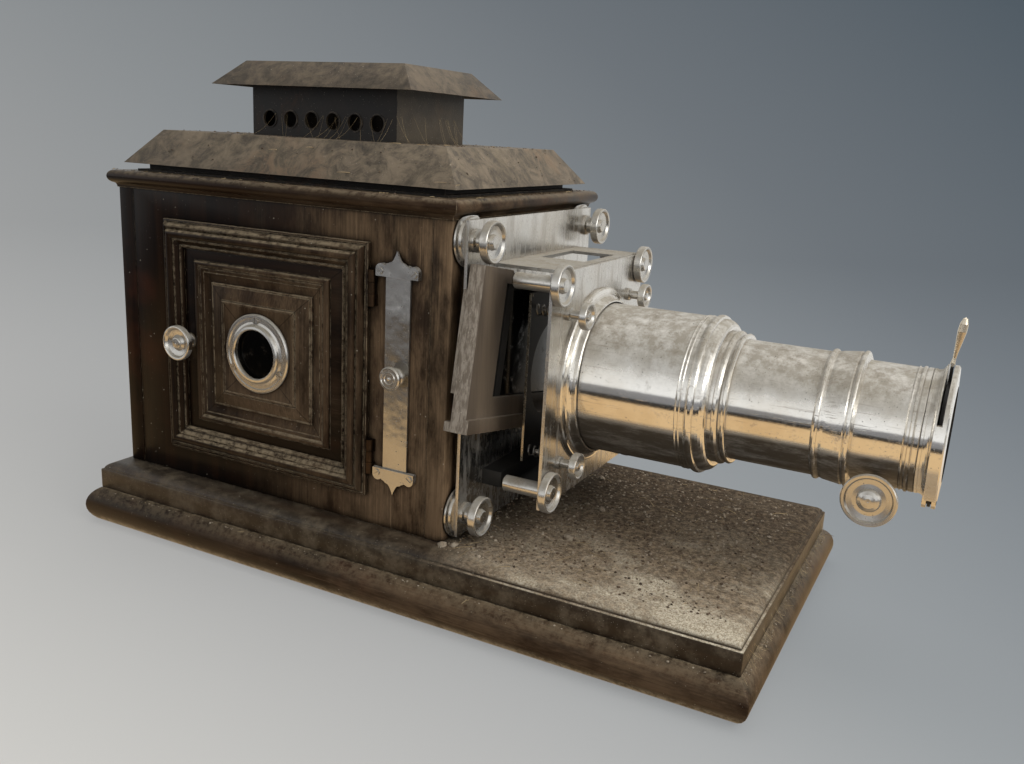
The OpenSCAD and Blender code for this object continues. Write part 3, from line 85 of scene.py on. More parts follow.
class Value:
    """A socket in a finish's node tree, so that shader maths can be written as sums."""

    def __init__(self, finish, socket):
        self.finish = finish
        self.socket = socket

    def math(self, operation, *others, clamp=False):
        settings = {"operation": operation, "use_clamp": clamp}
        return self.finish.node("ShaderNodeMath", settings, [self, *others])[0]

    def __add__(self, other):
        return self.math("ADD", other)

    def __radd__(self, other):
        return self.math("ADD", other)

    def __sub__(self, other):
        return self.math("SUBTRACT", other)

    def __rsub__(self, other):
        return self.finish.number(other).math("SUBTRACT", self)

    def __mul__(self, other):
        return self.math("MULTIPLY", other)

    def __rmul__(self, other):
        return self.math("MULTIPLY", other)

    def __truediv__(self, other):
        return self.math("DIVIDE", other)

    def size(self):
        return self.math("ABSOLUTE")

    def most(self, other):
        return self.math("MAXIMUM", other)

    def held(self):
        """The value kept between 0 and 1."""
        return self.math("ADD", 0.0, clamp=True)

    def rise(self, low, high, start=0.0, end=1.0):
        """A smooth step from start at low to end at high."""
        settings = {"interpolation_type": "SMOOTHSTEP", "clamp": True}
        inputs = {"Value": self, "From Min": low, "From Max": high, "To Min": start, "To Max": end}
        return self.finish.node("ShaderNodeMapRange", settings, inputs)["Result"]


class Outputs:
    """The outputs of a node, by name or number."""

    def __init__(self, finish, node):
        self.finish = finish
        self.outputs = node.outputs

    def __getitem__(self, key):
        return Value(self.finish, self.outputs[key])


class Finish:
    """A material or world and the nodes that make it."""

    def __init__(self, name, owner=None):
        self.owner = owner or bpy.data.materials.new(name)
        self.owner.use_nodes = True
        self.tree = self.owner.node_tree
        self.tree.nodes.clear()
        self.place = self.node("ShaderNodeTexCoord")["Object"]

    def node(self, kind, settings=None, inputs=None):
        """A new node: its settings first, then the values or links of its sockets."""
        made = self.tree.nodes.new(kind)
        settings = dict(settings or {})
        stops = settings.pop("stops", None)
        for key, value in settings.items():
            setattr(made, key, value)
        if stops:
            ramp = made.color_ramp
            while len(ramp.elements) < len(stops):
                ramp.elements.new(0.5)
            for element, (position, colour) in zip(ramp.elements, stops):
                element.position = position
                element.color = (*colour, 1)
        pairs = inputs.items() if isinstance(inputs, dict) else enumerate(inputs or [])
        for key, value in pairs:
            socket = made.inputs[key]
            if isinstance(value, Value):
                self.tree.links.new(value.socket, socket)
            elif value is not None:
                if socket.type == "RGBA" and len(value) == 3:
                    value = (*value, 1)
                socket.default_value = value
        return Outputs(self, made)

    def number(self, value):
        made = self.node("ShaderNodeValue")
        made[0].socket.default_value = value
        return made[0]

    def parts(self, vector):
        """The X, Y and Z of a vector."""
        return self.node("ShaderNodeSeparateXYZ", None, [vector])

    def facing(self):
        """Which way the surface faces."""
        return self.node("ShaderNodeTexCoord")["Normal"]

    def vectors(self, operation, first, second):
        return self.node("ShaderNodeVectorMath", {"operation": operation}, [first, second])

    def stretched(self, across, shift=(0, 0, 0), turn=(0, 0, 0)):
        """The place on the piece, scaled along its axes."""
        inputs = {"Vector": self.place, "Scale": across, "Location": shift, "Rotation": turn}
        return self.node("ShaderNodeMapping", None, inputs)["Vector"]

    def noise(
        self, scale, detail=3.0, rough=0.55, across=(1, 1, 1), shift=(0, 0, 0), turn=(0, 0, 0),
        bend=0.0,
    ):
        inputs = {
            "Vector": self.stretched(across, shift, turn), "Scale": scale, "Detail": detail,
            "Roughness": rough, "Distortion": bend,
        }
        return self.node("ShaderNodeTexNoise", None, inputs)["Fac"]

    def specks(self, scale, radius, share, shift=(0, 0, 0)):
        """Small spots, one in some of the cells of a grid of this many cells a metre."""
        inputs = {"Vector": self.stretched((1, 1, 1), shift), "Scale": scale, "Randomness": 1.0}
        cells = self.node("ShaderNodeTexVoronoi", None, inputs)
        pick = self.node("ShaderNodeSeparateColor", None, [cells["Color"]])
        chosen = pick[0].rise(1 - share, 1 - share * 0.8)
        size = pick[1] * radius + radius * 0.35
        return (size - cells["Distance"]).rise(0.0, radius * 0.4) * chosen

    def up(self, low, high):
        """How far the surface faces the sky."""
        return self.parts(self.facing())["Z"].rise(low, high)

    def edges(self, radius, low=0.02, high=0.25):
        """The sharp edges, where handling wears the finish and where highlights are painted."""
        soft = self.node("ShaderNodeBevel", {"samples": 4}, {"Radius": radius})["Normal"]
        true = self.node("ShaderNodeNewGeometry")["Normal"]
        same = self.vectors("DOT_PRODUCT", soft, true)["Value"]
        return (1 - same).rise(low, high)

    def hollows(self, reach, low, high):
        """The corners where dirt gathers and where shade is painted."""
        settings = {"samples": 4, "only_local": False}
        open_sky = self.node("ShaderNodeAmbientOcclusion", settings, {"Distance": reach})["AO"]
        return 1 - open_sky.rise(low, high)

    def blend(self, factor, first, second):
        settings = {"data_type": "RGBA", "clamp_factor": True}
        return self.node("ShaderNodeMix", settings, {0: factor, 6: first, 7: second})[2]

    def relief(self, height, depth):
        """A bump of this depth in metres."""
        inputs = {"Height": height, "Distance": depth, "Strength": 1.0}
        return self.node("ShaderNodeBump", None, inputs)["Normal"]

    def surface(self, colour, rough, metal=0.0, normal=None, **constants):
        inputs = {"Base Color": colour, "Roughness": rough, "Metallic": metal, "Normal": normal}
        inputs.update({key.replace("_", " "): value for key, value in constants.items()})
        shader = self.node("ShaderNodeBsdfPrincipled", None, inputs)
        self.node("ShaderNodeOutputMaterial", None, {"Surface": shader["BSDF"]})
        return self.owner


# Colours of the finishes, as light that the surface sends back
POLISH_DARK = (0.0048, 0.0023, 0.0014)
POLISH_WARM = (0.019, 0.0078, 0.0034)
POLISH_RED = (0.070, 0.018, 0.007)
# Near black: painted shade in crevices and corners, and the dark mitre joints of the door's frames
CREVICE_SHADE_AND_JOINT = (0.0016, 0.0010, 0.0007)
# Pale edge colour: worn wood, and a painted highlight along the edges
WORN_EDGE_HIGHLIGHT = (0.36, 0.285, 0.19)
DUST = (0.34, 0.27, 0.18)
VEIL = (0.330, 0.218, 0.128)
DUST_PALE = (0.62, 0.56, 0.45)
CHIP = (0.70, 0.66, 0.56)
JAPAN_BLACK = (0.0036, 0.0020, 0.0015)
JAPAN_BROWN = (0.086, 0.067, 0.047)
CAP_BROWN = (0.052, 0.039, 0.027)
IRON_EDGE = (0.24, 0.19, 0.135)
RUST = (0.150, 0.062, 0.022)
RUST_PIT = (0.030, 0.016, 0.009)
NICKEL = (0.85, 0.835, 0.80)
NICKEL_WARM = (0.62, 0.55, 0.44)
NICKEL_STAIN = (0.16, 0.115, 0.070)
GREY_DIRT = (0.305, 0.275, 0.225)
# Dark brown of the painted shade under the nickel
UNDERSIDE_SHADE = (0.036, 0.026, 0.016)
PIT = (0.030, 0.022, 0.015)
BRASS = (0.42, 0.27, 0.10)
BRASS_DARK = (0.10, 0.060, 0.028)


def with_grain(grain, along):
    """Scales that draw a texture out along the grain."""
    return tuple(along if axis == grain else 1 for axis in "XYZ")


def scaled(colour, share):
    return tuple(part * share for part in colour)


def polished_wood(name, grain, dust, edge_wear_and_highlight, veil, joints=None, corner_dust=0.0):
    """Old dark polish on mahogany: veil is how strong the pale film is at the back and at the front."""
    wood = Finish(name)
    streaks = wood.noise(70, 5, 0.6, with_grain(grain, 0.05), bend=0.4)
    pores = wood.noise(900, 3, 0.7, with_grain(grain, 0.0175))
    clouds = wood.noise(11, 4, 0.6, shift=(3, 1, 2))
    colour = wood.blend(streaks.rise(0.35, 0.72), POLISH_DARK, POLISH_WARM)
    colour = wood.blend(clouds.rise(0.58, 0.76) * 0.45, colour, POLISH_RED)
    # The pale film grows from the back towards the front end
    thick = wood.parts(wood.place)["X"].rise(CASE_LOW.x + 0.05, CASE_HIGH.x, *veil)
    patches = wood.noise(44, 7, 0.72, with_grain(grain, 0.3), (1, 9, 4))
    patches = patches.rise(0.34, 0.66, 0.18, 1.75)
    film = (thick * patches * (pores.rise(0.3, 0.7, 0.75, 1.25))).held()
    scratch = wood.noise(300, 3, 0.8, with_grain(grain, 0.02), (5, 5, 2))
    film = (film + scratch.rise(0.60, 0.76) * (thick * 1.3 + 0.02)).held()
    colour = wood.blend(film, colour, VEIL)
    # Painted shade: the colour goes near black in crevices and corners
    painted_crevice_shade = wood.hollows(5 * MM, 0.45, 0.95)
    colour = wood.blend(painted_crevice_shade * 0.92, colour, CREVICE_SHADE_AND_JOINT)
    if corner_dust:
        drifted = wood.hollows(9 * MM, 0.40, 0.92) * wood.noise(130, 6, 0.8).rise(0.40, 0.58)
        colour = wood.blend((drifted * corner_dust).held(), colour, DUST)
    # Edges lightened: wear, and a painted highlight along the mouldings
    edge = wood.edges(1.0 * MM, 0.010, 0.10) * wood.noise(190, 5, 0.75).rise(0.38, 0.58)
    colour = wood.blend((edge * edge_wear_and_highlight).held(), colour, WORN_EDGE_HIGHLIGHT)
    if joints:
        colour = wood.blend(joints(wood) * 0.9, colour, CREVICE_SHADE_AND_JOINT)
    ledge = wood.up(0.25, 0.85) * wood.noise(210, 6, 0.75).rise(0.34, 0.60)
    settled = (ledge * dust).held()
    colour = wood.blend(settled, colour, DUST)
    fleck = (wood.specks(260, 0.10, 0.10) + wood.specks(640, 0.14, 0.12, (2, 5, 1))).held()
    colour = wood.blend(fleck * (0.35 + 0.45 * dust), colour, DUST_PALE)
    colour = wood.blend(wood.specks(70, 0.045, 0.07, (4, 4, 4)) * 0.8, colour, CHIP)
    rough = clouds * 0.14 + streaks * 0.08 + film * 0.5 + settled * 0.45 + edge * 0.2
    rough = (rough + fleck * 0.3 + 0.20).held()
    height = streaks * 0.25 + pores * 0.5 + settled * wood.noise(800, 3) * 1.4 + fleck * 1.2
    bump = wood.relief(height, 0.10 * MM)
    return wood.surface(colour, rough, normal=bump, Specular_IOR_Level=0.085)


def dusty_board(name):
    """The upper board: brown soil by the stage, pale grit drifted to the near front corner."""
    wood = Finish(name)
    streaks = wood.noise(70, 5, 0.6, with_grain("X", 0.05), bend=0.4)
    colour = wood.blend(streaks.rise(0.35, 0.72), POLISH_DARK, POLISH_WARM)
    painted_crevice_shade = wood.hollows(8 * MM, 0.30, 0.85)
    place = wood.parts(wood.place)
    side_dust = wood.noise(60, 6, 0.7).rise(0.40, 0.72, 0.02, 0.30)
    colour = wood.blend(side_dust, colour, DUST)
    # Painted shade: near black in crevices and corners
    colour = wood.blend(painted_crevice_shade * 0.7, colour, CREVICE_SHADE_AND_JOINT)
    # Edges lightened: wear, and a painted highlight along the board's edges
    edge = wood.edges(1.6 * MM) * wood.noise(140, 5, 0.75).rise(0.36, 0.60)
    colour = wood.blend(edge * 0.75, colour, WORN_EDGE_HIGHLIGHT)
    ahead = place["X"].rise(CASE_HIGH.x - 0.01, CASE_HIGH.x + 0.05)
    nearness = 1 - place["Y"].rise(STEP_LOW.y + 0.01, 0.045)
    out = place["X"].rise(CASE_HIGH.x + 0.02, STEP_HIGH.x - 0.03)
    drift = wood.noise(15, 7, 0.74, (0.7, 1, 1), (4, 2, 0)).rise(0.38, 0.62, 0.15, 1.35)
    patch = wood.noise(34, 6, 0.74, (0.5, 1, 1), (8, 3, 1)).rise(0.40, 0.66)
    pale = (nearness * 1.15 + 0.04) * (out * 0.75 + 0.36) * drift * (patch * 0.8 + 0.50)
    crumbs = wood.noise(760, 5, 0.8)
    clods = wood.noise(210, 5, 0.8, shift=(2, 2, 6))
    earth = wood.blend(clods.rise(0.40, 0.66), (0.098, 0.066, 0.040), (0.385, 0.288, 0.188))
    earth = wood.blend(crumbs.rise(0.52, 0.66) * 0.45, earth, (0.30, 0.235, 0.155))
    deep = wood.blend(clods.rise(0.42, 0.70), (0.036, 0.023, 0.013), (0.150, 0.108, 0.068))
    earth = wood.blend(place["Y"].rise(-0.045, 0.075) * 0.85, earth, deep)
    chalk = wood.blend(crumbs.rise(0.38, 0.60), (0.300, 0.238, 0.160), (0.68, 0.61, 0.48))
    soil = wood.blend(pale.held(), earth, chalk)
    cover = wood.up(0.35, 0.9) * (ahead * 0.90 + 0.10) * clods.rise(0.22, 0.42, 0.55, 1.0)
    cover = cover.held()
    colour = wood.blend(cover, colour, soil)
    fleck = (wood.specks(300, 0.12, 0.12) + wood.specks(800, 0.18, 0.22, (2, 5, 1))).held()
    colour = wood.blend(fleck * 0.55, colour, DUST_PALE)
    dark = wood.specks(420, 0.16, 0.16, (6, 1, 3)) * cover
    colour = wood.blend(dark * 0.8, colour, (0.020, 0.012, 0.008))
    rough = (0.34 + cover * 0.55 + side_dust * 0.8 + edge * 0.2).held()
    height = streaks * 0.2 + cover * (crumbs * 1.6 + clods * 3.2) + fleck * 2.0
    bump = wood.relief(height, 0.45 * MM)
    return wood.surface(colour, rough, normal=bump, Specular_IOR_Level=0.30)


def mitres(node, corner_out, corner_in):
    """The dark hairline where a frame's members meet, from one half size to the next."""
    low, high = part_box(node)
    middle = (low + high) / 2
    slope = (corner_out[1] - corner_in[1]) / (corner_out[0] - corner_in[0])

    def line(wood):
        along = wood.parts(wood.place)
        off = ((along["X"] - middle.x).size() - corner_in[0] * MM) * slope
        off = off - ((along["Z"] - middle.z).size() - corner_in[1] * MM)
        return 1 - off.size().rise(0.12 * MM, 0.42 * MM)

    return line


def japanned_iron(name, base, dust, rust, gloss, lit_face_film=0.0):
    """Sheet iron with baked black varnish that has gone brown, rusted and dusty."""
    iron = Finish(name)
    clouds = iron.noise(13, 6, 0.62, shift=(2, 6, 1))
    mottle = iron.noise(60, 7, 0.76, bend=0.8)
    fine = iron.noise(420, 5, 0.75)
    colour = iron.blend(mottle.rise(0.36, 0.64), scaled(base, 0.45), scaled(base, 2.0))
    stain = iron.noise(24, 6, 0.7, (1, 1, 1), (7, 3, 3), bend=1.2).rise(0.50, 0.66)
    colour = iron.blend(stain * 0.55, colour, scaled(base, 0.35))
    bloom = (clouds.rise(0.50, 0.68) * mottle.rise(0.42, 0.60) * rust).held()
    colour = iron.blend(bloom, colour, RUST)
    spots = (iron.specks(190, 0.20, 0.28, (1, 0, 3)) * rust).held()
    colour = iron.blend(spots, colour, RUST_PIT)
    ledge = iron.up(0.30, 0.95) * iron.noise(150, 6, 0.75).rise(0.34, 0.66)
    # Faces turned to +X, towards the key light, get the pale film: painted light on the lit side, with dust
    ahead = iron.parts(iron.facing())["X"].rise(0.3, 0.9) * lit_face_film
    film = iron.noise(21, 6, 0.7, shift=(5, 1, 8)).rise(0.38, 0.70)
    settled = ((ledge + film * 0.28) * dust + ahead * (film * 0.6 + 0.5)).held()
    colour = iron.blend(settled, colour, DUST)
    # Painted shade: near black in crevices and corners
    painted_crevice_shade = iron.hollows(7 * MM, 0.25, 0.8)
    colour = iron.blend(painted_crevice_shade * 0.6, colour, CREVICE_SHADE_AND_JOINT)
    edge = iron.edges(1.0 * MM, 0.015, 0.2) * iron.noise(170, 4, 0.7).rise(0.42, 0.62)
    colour = iron.blend(edge * 0.5, colour, IRON_EDGE)
    fleck = (iron.specks(330, 0.12, 0.14) + iron.specks(760, 0.16, 0.16, (2, 5, 1))).held()
    colour = iron.blend(fleck * (0.30 + 0.4 * dust), colour, DUST_PALE)
    rough = (gloss + settled * 0.4 + bloom * 0.25 + mottle * 0.14).held()
    height = mottle * 1.2 + fine * 0.8 + settled * iron.noise(700, 3, 0.7) * 2.0
    bump = iron.relief(height + fleck * 1.6 - spots, 0.16 * MM)
    return iron.surface(colour, rough, normal=bump, Specular_IOR_Level=0.35)


def tarnished_nickel(
    name, stain, pits, rough_base, brightness=1.0, under=0.0, streaky=0.0, runs=0.0, wavy=0.0,
    lining=None,
):
    """Nickel plate: bright on its flanks, pitted, grey with settled dirt on top, painted shade in dark brown
    below.
    """
    plate = Finish(name)
    clouds = plate.noise(19, 5, 0.62, shift=(6, 2, 5))
    fine = plate.noise(330, 5, 0.72)
    brushed = plate.noise(420, 4, 0.75, (0.04, 1, 1))
    bright, warm = scaled(NICKEL, brightness), scaled(NICKEL_WARM, brightness)
    colour = plate.blend(clouds.rise(0.42, 0.72) * 0.45, bright, warm)
    facing = plate.facing()
    upward = plate.parts(facing)["Z"]
    on_top = upward.rise(0.12, 0.74)
    ragged = plate.noise(85, 6, 0.76).rise(0.30, 0.66, 0.55, 1.15)
    dirt = (on_top * ragged * stain).held()
    smears = plate.noise(120, 6, 0.8, (0.25, 1, 1)).rise(0.26, 0.56, 0.72, 1.0)
    # Painted shade: faces turned down go dark brown, in smeared patches
    below = ((1 - upward.rise(-0.38, -0.24)) * under * smears).held()
    bloom = plate.noise(48, 6, 0.74, shift=(9, 0, 2)).rise(0.56, 0.72) * (0.40 * stain)
    corner = plate.hollows(5 * MM, 0.3, 0.8) * (0.55 * stain)
    blotch = (plate.noise(60, 6, 0.8, shift=(1, 7, 3)).rise(0.52, 0.68) * on_top).held()
    run = (plate.noise(110, 6, 0.8, (1, 1, 0.12), (3, 3, 1)).rise(0.46, 0.72) * runs).held()
    streak = (brushed.rise(0.56, 0.74) * streaky).held()
    colour = plate.blend(dirt, colour, GREY_DIRT)
    colour = plate.blend((bloom + corner + streak * 0.5).held(), colour, NICKEL_STAIN)
    colour = plate.blend(blotch * (0.45 * stain), colour, (0.15, 0.115, 0.075))
    colour = plate.blend(run * 0.6, colour, (0.20, 0.165, 0.12))
    colour = plate.blend(below, colour, UNDERSIDE_SHADE)
    big_pit = plate.specks(240, 0.10, 0.20, (3, 9, 1)) * on_top * pits
    colour = plate.blend(big_pit, colour, PIT)
    pit = (plate.specks(520, 0.16, 0.34) + plate.specks(1150, 0.2, 0.34, (4, 1, 7))).held() * pits
    colour = plate.blend(pit, colour, PIT)
    fleck = plate.specks(420, 0.12, 0.25, (8, 2, 2)) * on_top * stain
    colour = plate.blend(fleck * 0.6, colour, DUST_PALE)
    metal = 1 - dirt - bloom * 0.7 - corner * 0.6 - below * 0.85 - pit * 0.6
    metal = (metal - streak * 0.3 - run * 0.5).held()
    rough = rough_base + clouds * 0.05 + fine * 0.04 + dirt * 0.6 + (bloom + corner) * 0.4
    rough = (rough + below * 0.35 + run * 0.35 + big_pit * 0.4).held()
    if lining:
        axis, radius = lining
        spot = plate.vectors("SUBTRACT", plate.place, axis)[0]
        out = plate.vectors("MULTIPLY", spot, (0, 1, 1))[0]
        inward = plate.vectors("DOT_PRODUCT", facing, out)["Value"]
        black = 1 - inward.rise(-radius * 0.2, -radius * 0.05)
        colour = plate.blend(black, colour, (0.006, 0.005, 0.004))
        metal = (metal - black).held()
        rough = (rough + black * 0.5).held()
    height = fine * 0.3 + streak * 0.6 - pit * 1.2 + dirt * plate.noise(900, 3, 0.7) * 1.5
    height = height + fleck * 2.0
    if wavy:
        height = height + plate.noise(34, 3, 0.5, shift=(2, 8, 8)) * wavy
    rough = (rough + pit * 0.4 + fleck * 0.5).held()
    return plate.surface(colour, rough, metal, plate.relief(height, 0.045 * MM))


def blackened(name, handle_from=None, rim_to=None):
    """Blackened plate with a bright handle above a height, or a bright rim on the near side."""
    plate = Finish(name)
    mottle = plate.noise(90, 5, 0.7)
    place = plate.parts(plate.place)
    if handle_from is not None:
        worn = place["Z"].rise(handle_from - 0.5 * MM, handle_from + 0.5 * MM)
    else:
        scraped = plate.noise(200, 4, 0.7).rise(0.20, 0.50, 0.4, 1.0)
        worn = (1 - place["Y"].rise(rim_to - 0.2 * MM, rim_to)) * scraped
    colour = plate.blend(mottle.rise(0.4, 0.7), (0.005, 0.005, 0.005), (0.022, 0.019, 0.016))
    colour = plate.blend(worn, colour, NICKEL_WARM)
    rough = (0.48 - worn * 0.26 + mottle * 0.1).held()
    bump = plate.relief(mottle, 0.05 * MM)
    return plate.surface(colour, rough, (worn * 0.8 + 0.1).held(), bump)


def carrier_wood(name):
    """Bare grey-brown wood: darker on its faces, pale and speckled on its end grain."""
    wood = Finish(name)
    streaks = wood.noise(60, 5, 0.62, (1, 0.6, 0.06), turn=(math.radians(10), 0, 0))
    fine = wood.noise(520, 4, 0.7, (1, 0.8, 0.2))
    colour = wood.blend(streaks.rise(0.34, 0.70), (0.046, 0.033, 0.022), (0.115, 0.085, 0.058))
    end = wood.parts(wood.facing())["Y"].size().rise(0.8, 0.95)
    grain_end = wood.blend(fine.rise(0.4, 0.62), (0.185, 0.150, 0.117), (0.360, 0.310, 0.255))
    colour = wood.blend(end, colour, grain_end)
    colour = wood.blend(wood.up(0.4, 0.9) * 0.55, colour, (0.185, 0.150, 0.112))
    edge = wood.edges(0.9 * MM) * 0.7
    colour = wood.blend(edge * (1 - end), colour, (0.175, 0.140, 0.105))
    fleck = wood.specks(430, 0.15, 0.18) + wood.specks(900, 0.2, 0.25, (1, 4, 2)) * end
    fleck = fleck.held()
    colour = wood.blend(fleck * 0.6, colour, DUST_PALE)
    rough = (0.52 + end * 0.2 + fine * 0.12).held()
    bump = wood.relief(streaks * 0.5 + fine * 0.8 + fleck, 0.12 * MM)
    return wood.surface(colour, rough, normal=bump, Specular_IOR_Level=0.35)


def flat_black(name):
    paint = Finish(name)
    mottle = paint.noise(60, 4, 0.65)
    colour = paint.blend(mottle.rise(0.4, 0.7), (0.004, 0.004, 0.004), (0.012, 0.010, 0.008))
    rough = (0.55 + mottle * 0.2).held()
    return paint.surface(colour, rough, normal=paint.relief(mottle, 0.05 * MM))


def old_brass(name, bright, dark):
    metal = Finish(name)
    clouds = metal.noise(45, 6, 0.7)
    fine = metal.noise(420, 4, 0.7)
    colour = metal.blend(clouds.rise(0.35, 0.68), bright, dark)
    pit = metal.specks(600, 0.18, 0.3)
    colour = metal.blend(pit * 0.7, colour, PIT)
    rough = (0.30 + clouds * 0.25 + pit * 0.3).held()
    bump = metal.relief(fine * 0.5 - pit, 0.05 * MM)
    return metal.surface(colour, rough, (0.95 - pit * 0.5).held(), bump)


def dull_tin(name):
    metal = Finish(name)
    clouds = metal.noise(32, 6, 0.68)
    spots = metal.specks(240, 0.2, 0.3)
    colour = metal.blend(clouds.rise(0.38, 0.68), (0.26, 0.245, 0.22), (0.10, 0.075, 0.052))
    colour = metal.blend(spots * 0.7, colour, RUST)
    rough = (0.40 + clouds * 0.25 + spots * 0.25).held()
    bump = metal.relief(clouds - spots, 0.08 * MM)
    return metal.surface(colour, rough, (0.85 - spots * 0.5).held(), bump)


def lens_glass(name, colour):
    glass = Finish(name)
    haze = glass.noise(40, 5, 0.7).rise(0.5, 0.8)
    rough = (haze * 0.12 + 0.03).held()
    return glass.surface(colour, rough, Transmission_Weight=1.0, IOR=1.5)


def dark_window(name, shine):
    """Dark glass under a little dust."""
    glass = Finish(name)
    film = glass.noise(120, 5, 0.7).rise(0.50, 0.78)
    colour = glass.blend(film * 0.12, (0.0016, 0.0015, 0.0015), (0.06, 0.05, 0.04))
    return glass.surface(colour, (0.12 + film * 0.35).held(), Specular_IOR_Level=shine)


def stone(name, pale, dark):
    grit = Finish(name)
    mottle = grit.noise(300, 4, 0.7)
    colour = grit.blend(mottle.rise(0.35, 0.65), pale, dark)
    return grit.surface(colour, 0.9, normal=grit.relief(mottle, 0.2 * MM))


# Half sizes in mm of the door's frames: outside, inside the moulding, ridge, valley and field
FRAME_OUT, FRAME_IN, RIDGE = (91.5, 87.25), (72.0, 67.75), (57.0, 56.75)
VALLEY, FIELD = (45.5, 45.25), (32.75, 33.75)

upright = polished_wood("polish_upright", "Z", dust=0.5, edge_wear_and_highlight=0.9, veil=(-0.06, 0.33))
lengthwise = polished_wood(
    "polish_lengthwise", "X", dust=0.26, edge_wear_and_highlight=0.8, veil=(0.04, 0.16), corner_dust=0.95)
case_top = polished_wood("polish_cornice", "X", dust=0.34, edge_wear_and_highlight=0.9, veil=(0.0, 0.12))
board_top = dusty_board("polish_under_grit")
door_frame = polished_wood(
    "polish_door_frame", "Z", dust=0.9, edge_wear_and_highlight=1.0, veil=(0.02, 0.17),
    joints=mitres(DOOR_FRAME, FRAME_OUT, FRAME_IN))
door_band = polished_wood(
    "polish_door_band", "X", dust=0.5, edge_wear_and_highlight=0.8, veil=(-0.04, 0.08),
    joints=mitres(DOOR_FRAME, FRAME_IN, RIDGE))
door_ridge = polished_wood(
    "polish_door_ridge", "Z", dust=0.9, edge_wear_and_highlight=1.0, veil=(0.06, 0.27),
    joints=mitres(DOOR_FRAME, RIDGE, VALLEY))
door_middle = polished_wood(
    "polish_door_centre", "Z", dust=0.9, edge_wear_and_highlight=1.0, veil=(0.11, 0.32),
    joints=mitres(DOOR_FRAME, VALLEY, FIELD))
roof_iron = japanned_iron("japanned_roof", JAPAN_BROWN, dust=0.36, rust=0.35, gloss=0.50)
flue_iron = japanned_iron(
    "japanned_chimney", JAPAN_BLACK, dust=0.07, rust=0.22, gloss=0.42, lit_face_film=0.15)
cap_iron = japanned_iron("japanned_cap", CAP_BROWN, dust=0.28, rust=0.20, gloss=0.50)
neck_iron = japanned_iron("japanned_collar", JAPAN_BLACK, dust=0.10, rust=0.2, gloss=0.6)
barrel_nickel = tarnished_nickel(
    "nickel_barrel", stain=0.95, pits=0.8, rough_base=0.065, under=0.97, streaky=1.0,
    lining=(BARREL_AXIS, HOOD_RADIUS))
hood_nickel = tarnished_nickel(
    "nickel_hood", stain=0.95, pits=0.8, rough_base=0.08, under=0.4,
    lining=(BARREL_AXIS, HOOD_RADIUS))
knob_nickel = tarnished_nickel(
    "nickel_knobs", stain=0.95, pits=0.7, rough_base=0.19, brightness=0.72, under=0.45)
plate_nickel = tarnished_nickel(
    "nickel_plates", stain=0.9, pits=0.9, rough_base=0.20, brightness=0.77, runs=0.65)
top_nickel = tarnished_nickel(
    "nickel_stage_top", stain=1.0, pits=0.9, rough_base=0.32, brightness=0.55, runs=0.9)
strip_nickel = tarnished_nickel(
    "nickel_strip", stain=0.6, pits=0.9, rough_base=0.19, brightness=0.60, wavy=34)
spring_wire = tarnished_nickel("spring_wire", stain=0.3, pits=0.3, rough_base=0.35, brightness=0.28)
black_plate = blackened("blackened_plate", rim_to=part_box("pressure_plate")[0].y + 0.5 * MM)
black_blade = blackened("blackened_blade", handle_from=BARREL_AXIS.z + HOOD_RADIUS)
slide_wood = carrier_wood("carrier_bare_wood")
blacking = flat_black("blacking")
brasswork = old_brass("old_brass", BRASS, BRASS_DARK)
hinge_bronze = old_brass("hinge_bronze", (0.055, 0.034, 0.020), (0.018, 0.012, 0.008))
tinplate = dull_tin("dull_tin")
clear_lens = lens_glass("lens_glass", (0.42, 0.47, 0.48))
peep_glass = dark_window("peep_window_glass", 0.12)
slide_black = dark_window("masked_slide_glass", 0.30)
pale_grit = stone("grit_pale", (0.40, 0.34, 0.26), (0.22, 0.17, 0.12))
brown_grit = stone("grit_brown", (0.150, 0.100, 0.062), (0.040, 0.025, 0.015))
straw = stone("straw", (0.42, 0.32, 0.18), (0.25, 0.18, 0.10))

FINISH_OF = {
    upright: ["corner_posts", "side_near", "side_far", "front_board", "back_frame"],
    lengthwise: ["base_board"],
    case_top: ["cornice"],
    board_top: ["base_step"],
    door_frame: [DOOR_FRAME],
    door_middle: ["door_centre"],
    door_band: ["door_board"],
    roof_iron: ["roof"],
    neck_iron: ["roof_collar"],
    flue_iron: ["chimney"],
    cap_iron: ["chimney_cap"],
    barrel_nickel: [
        "main_tube", "draw_tube", "lens_sleeve", "lens_tube", "lens_flange", "pinion_housing",
    ],
    hood_nickel: ["lens_hood"],
    black_blade: ["flasher"],
    black_plate: ["pressure_plate"],
    strip_nickel: ["vent_strip", "strip_keepers"],
    knob_nickel: [
        "door_knob", "strip_knob", "window_bezel", "rear_bosses", "stage_studs", "flange_screws",
        "focus_knobs", "pinion_shaft",
        *[f"{plate}_nut_{corner}" for plate in ("rear", "front") for corner in (1, 2, 3, 4)],
    ],
    plate_nickel: ["rear_plate", "front_plate"],
    top_nickel: ["stage_top"],
    spring_wire: ["pressure_springs"],
    slide_wood: ["carrier_frame"],
    blacking: ["condenser_cell", "stage_sill", "slide_holder"],
    brasswork: ["door_catch", "lamp"],
    hinge_bronze: ["hinge_fixed", "hinge_moving"],
    tinplate: ["lamp_tray"],
    clear_lens: ["condenser_lenses", "objective_lenses"],
    slide_black: ["slide_glass"],
    peep_glass: ["window_glass"],
}


def give(piece, finish):
    piece.data.materials.clear()
    piece.data.materials.append(finish)


for finish, names in FINISH_OF.items():
    for name in names:
        give(frame["nodes"][name], finish)


def body_of_node(name):
    for body, names in frame["record"]["behaviour"]["bodies"].items():
        if name in names:
            return body
    raise KeyError(name)


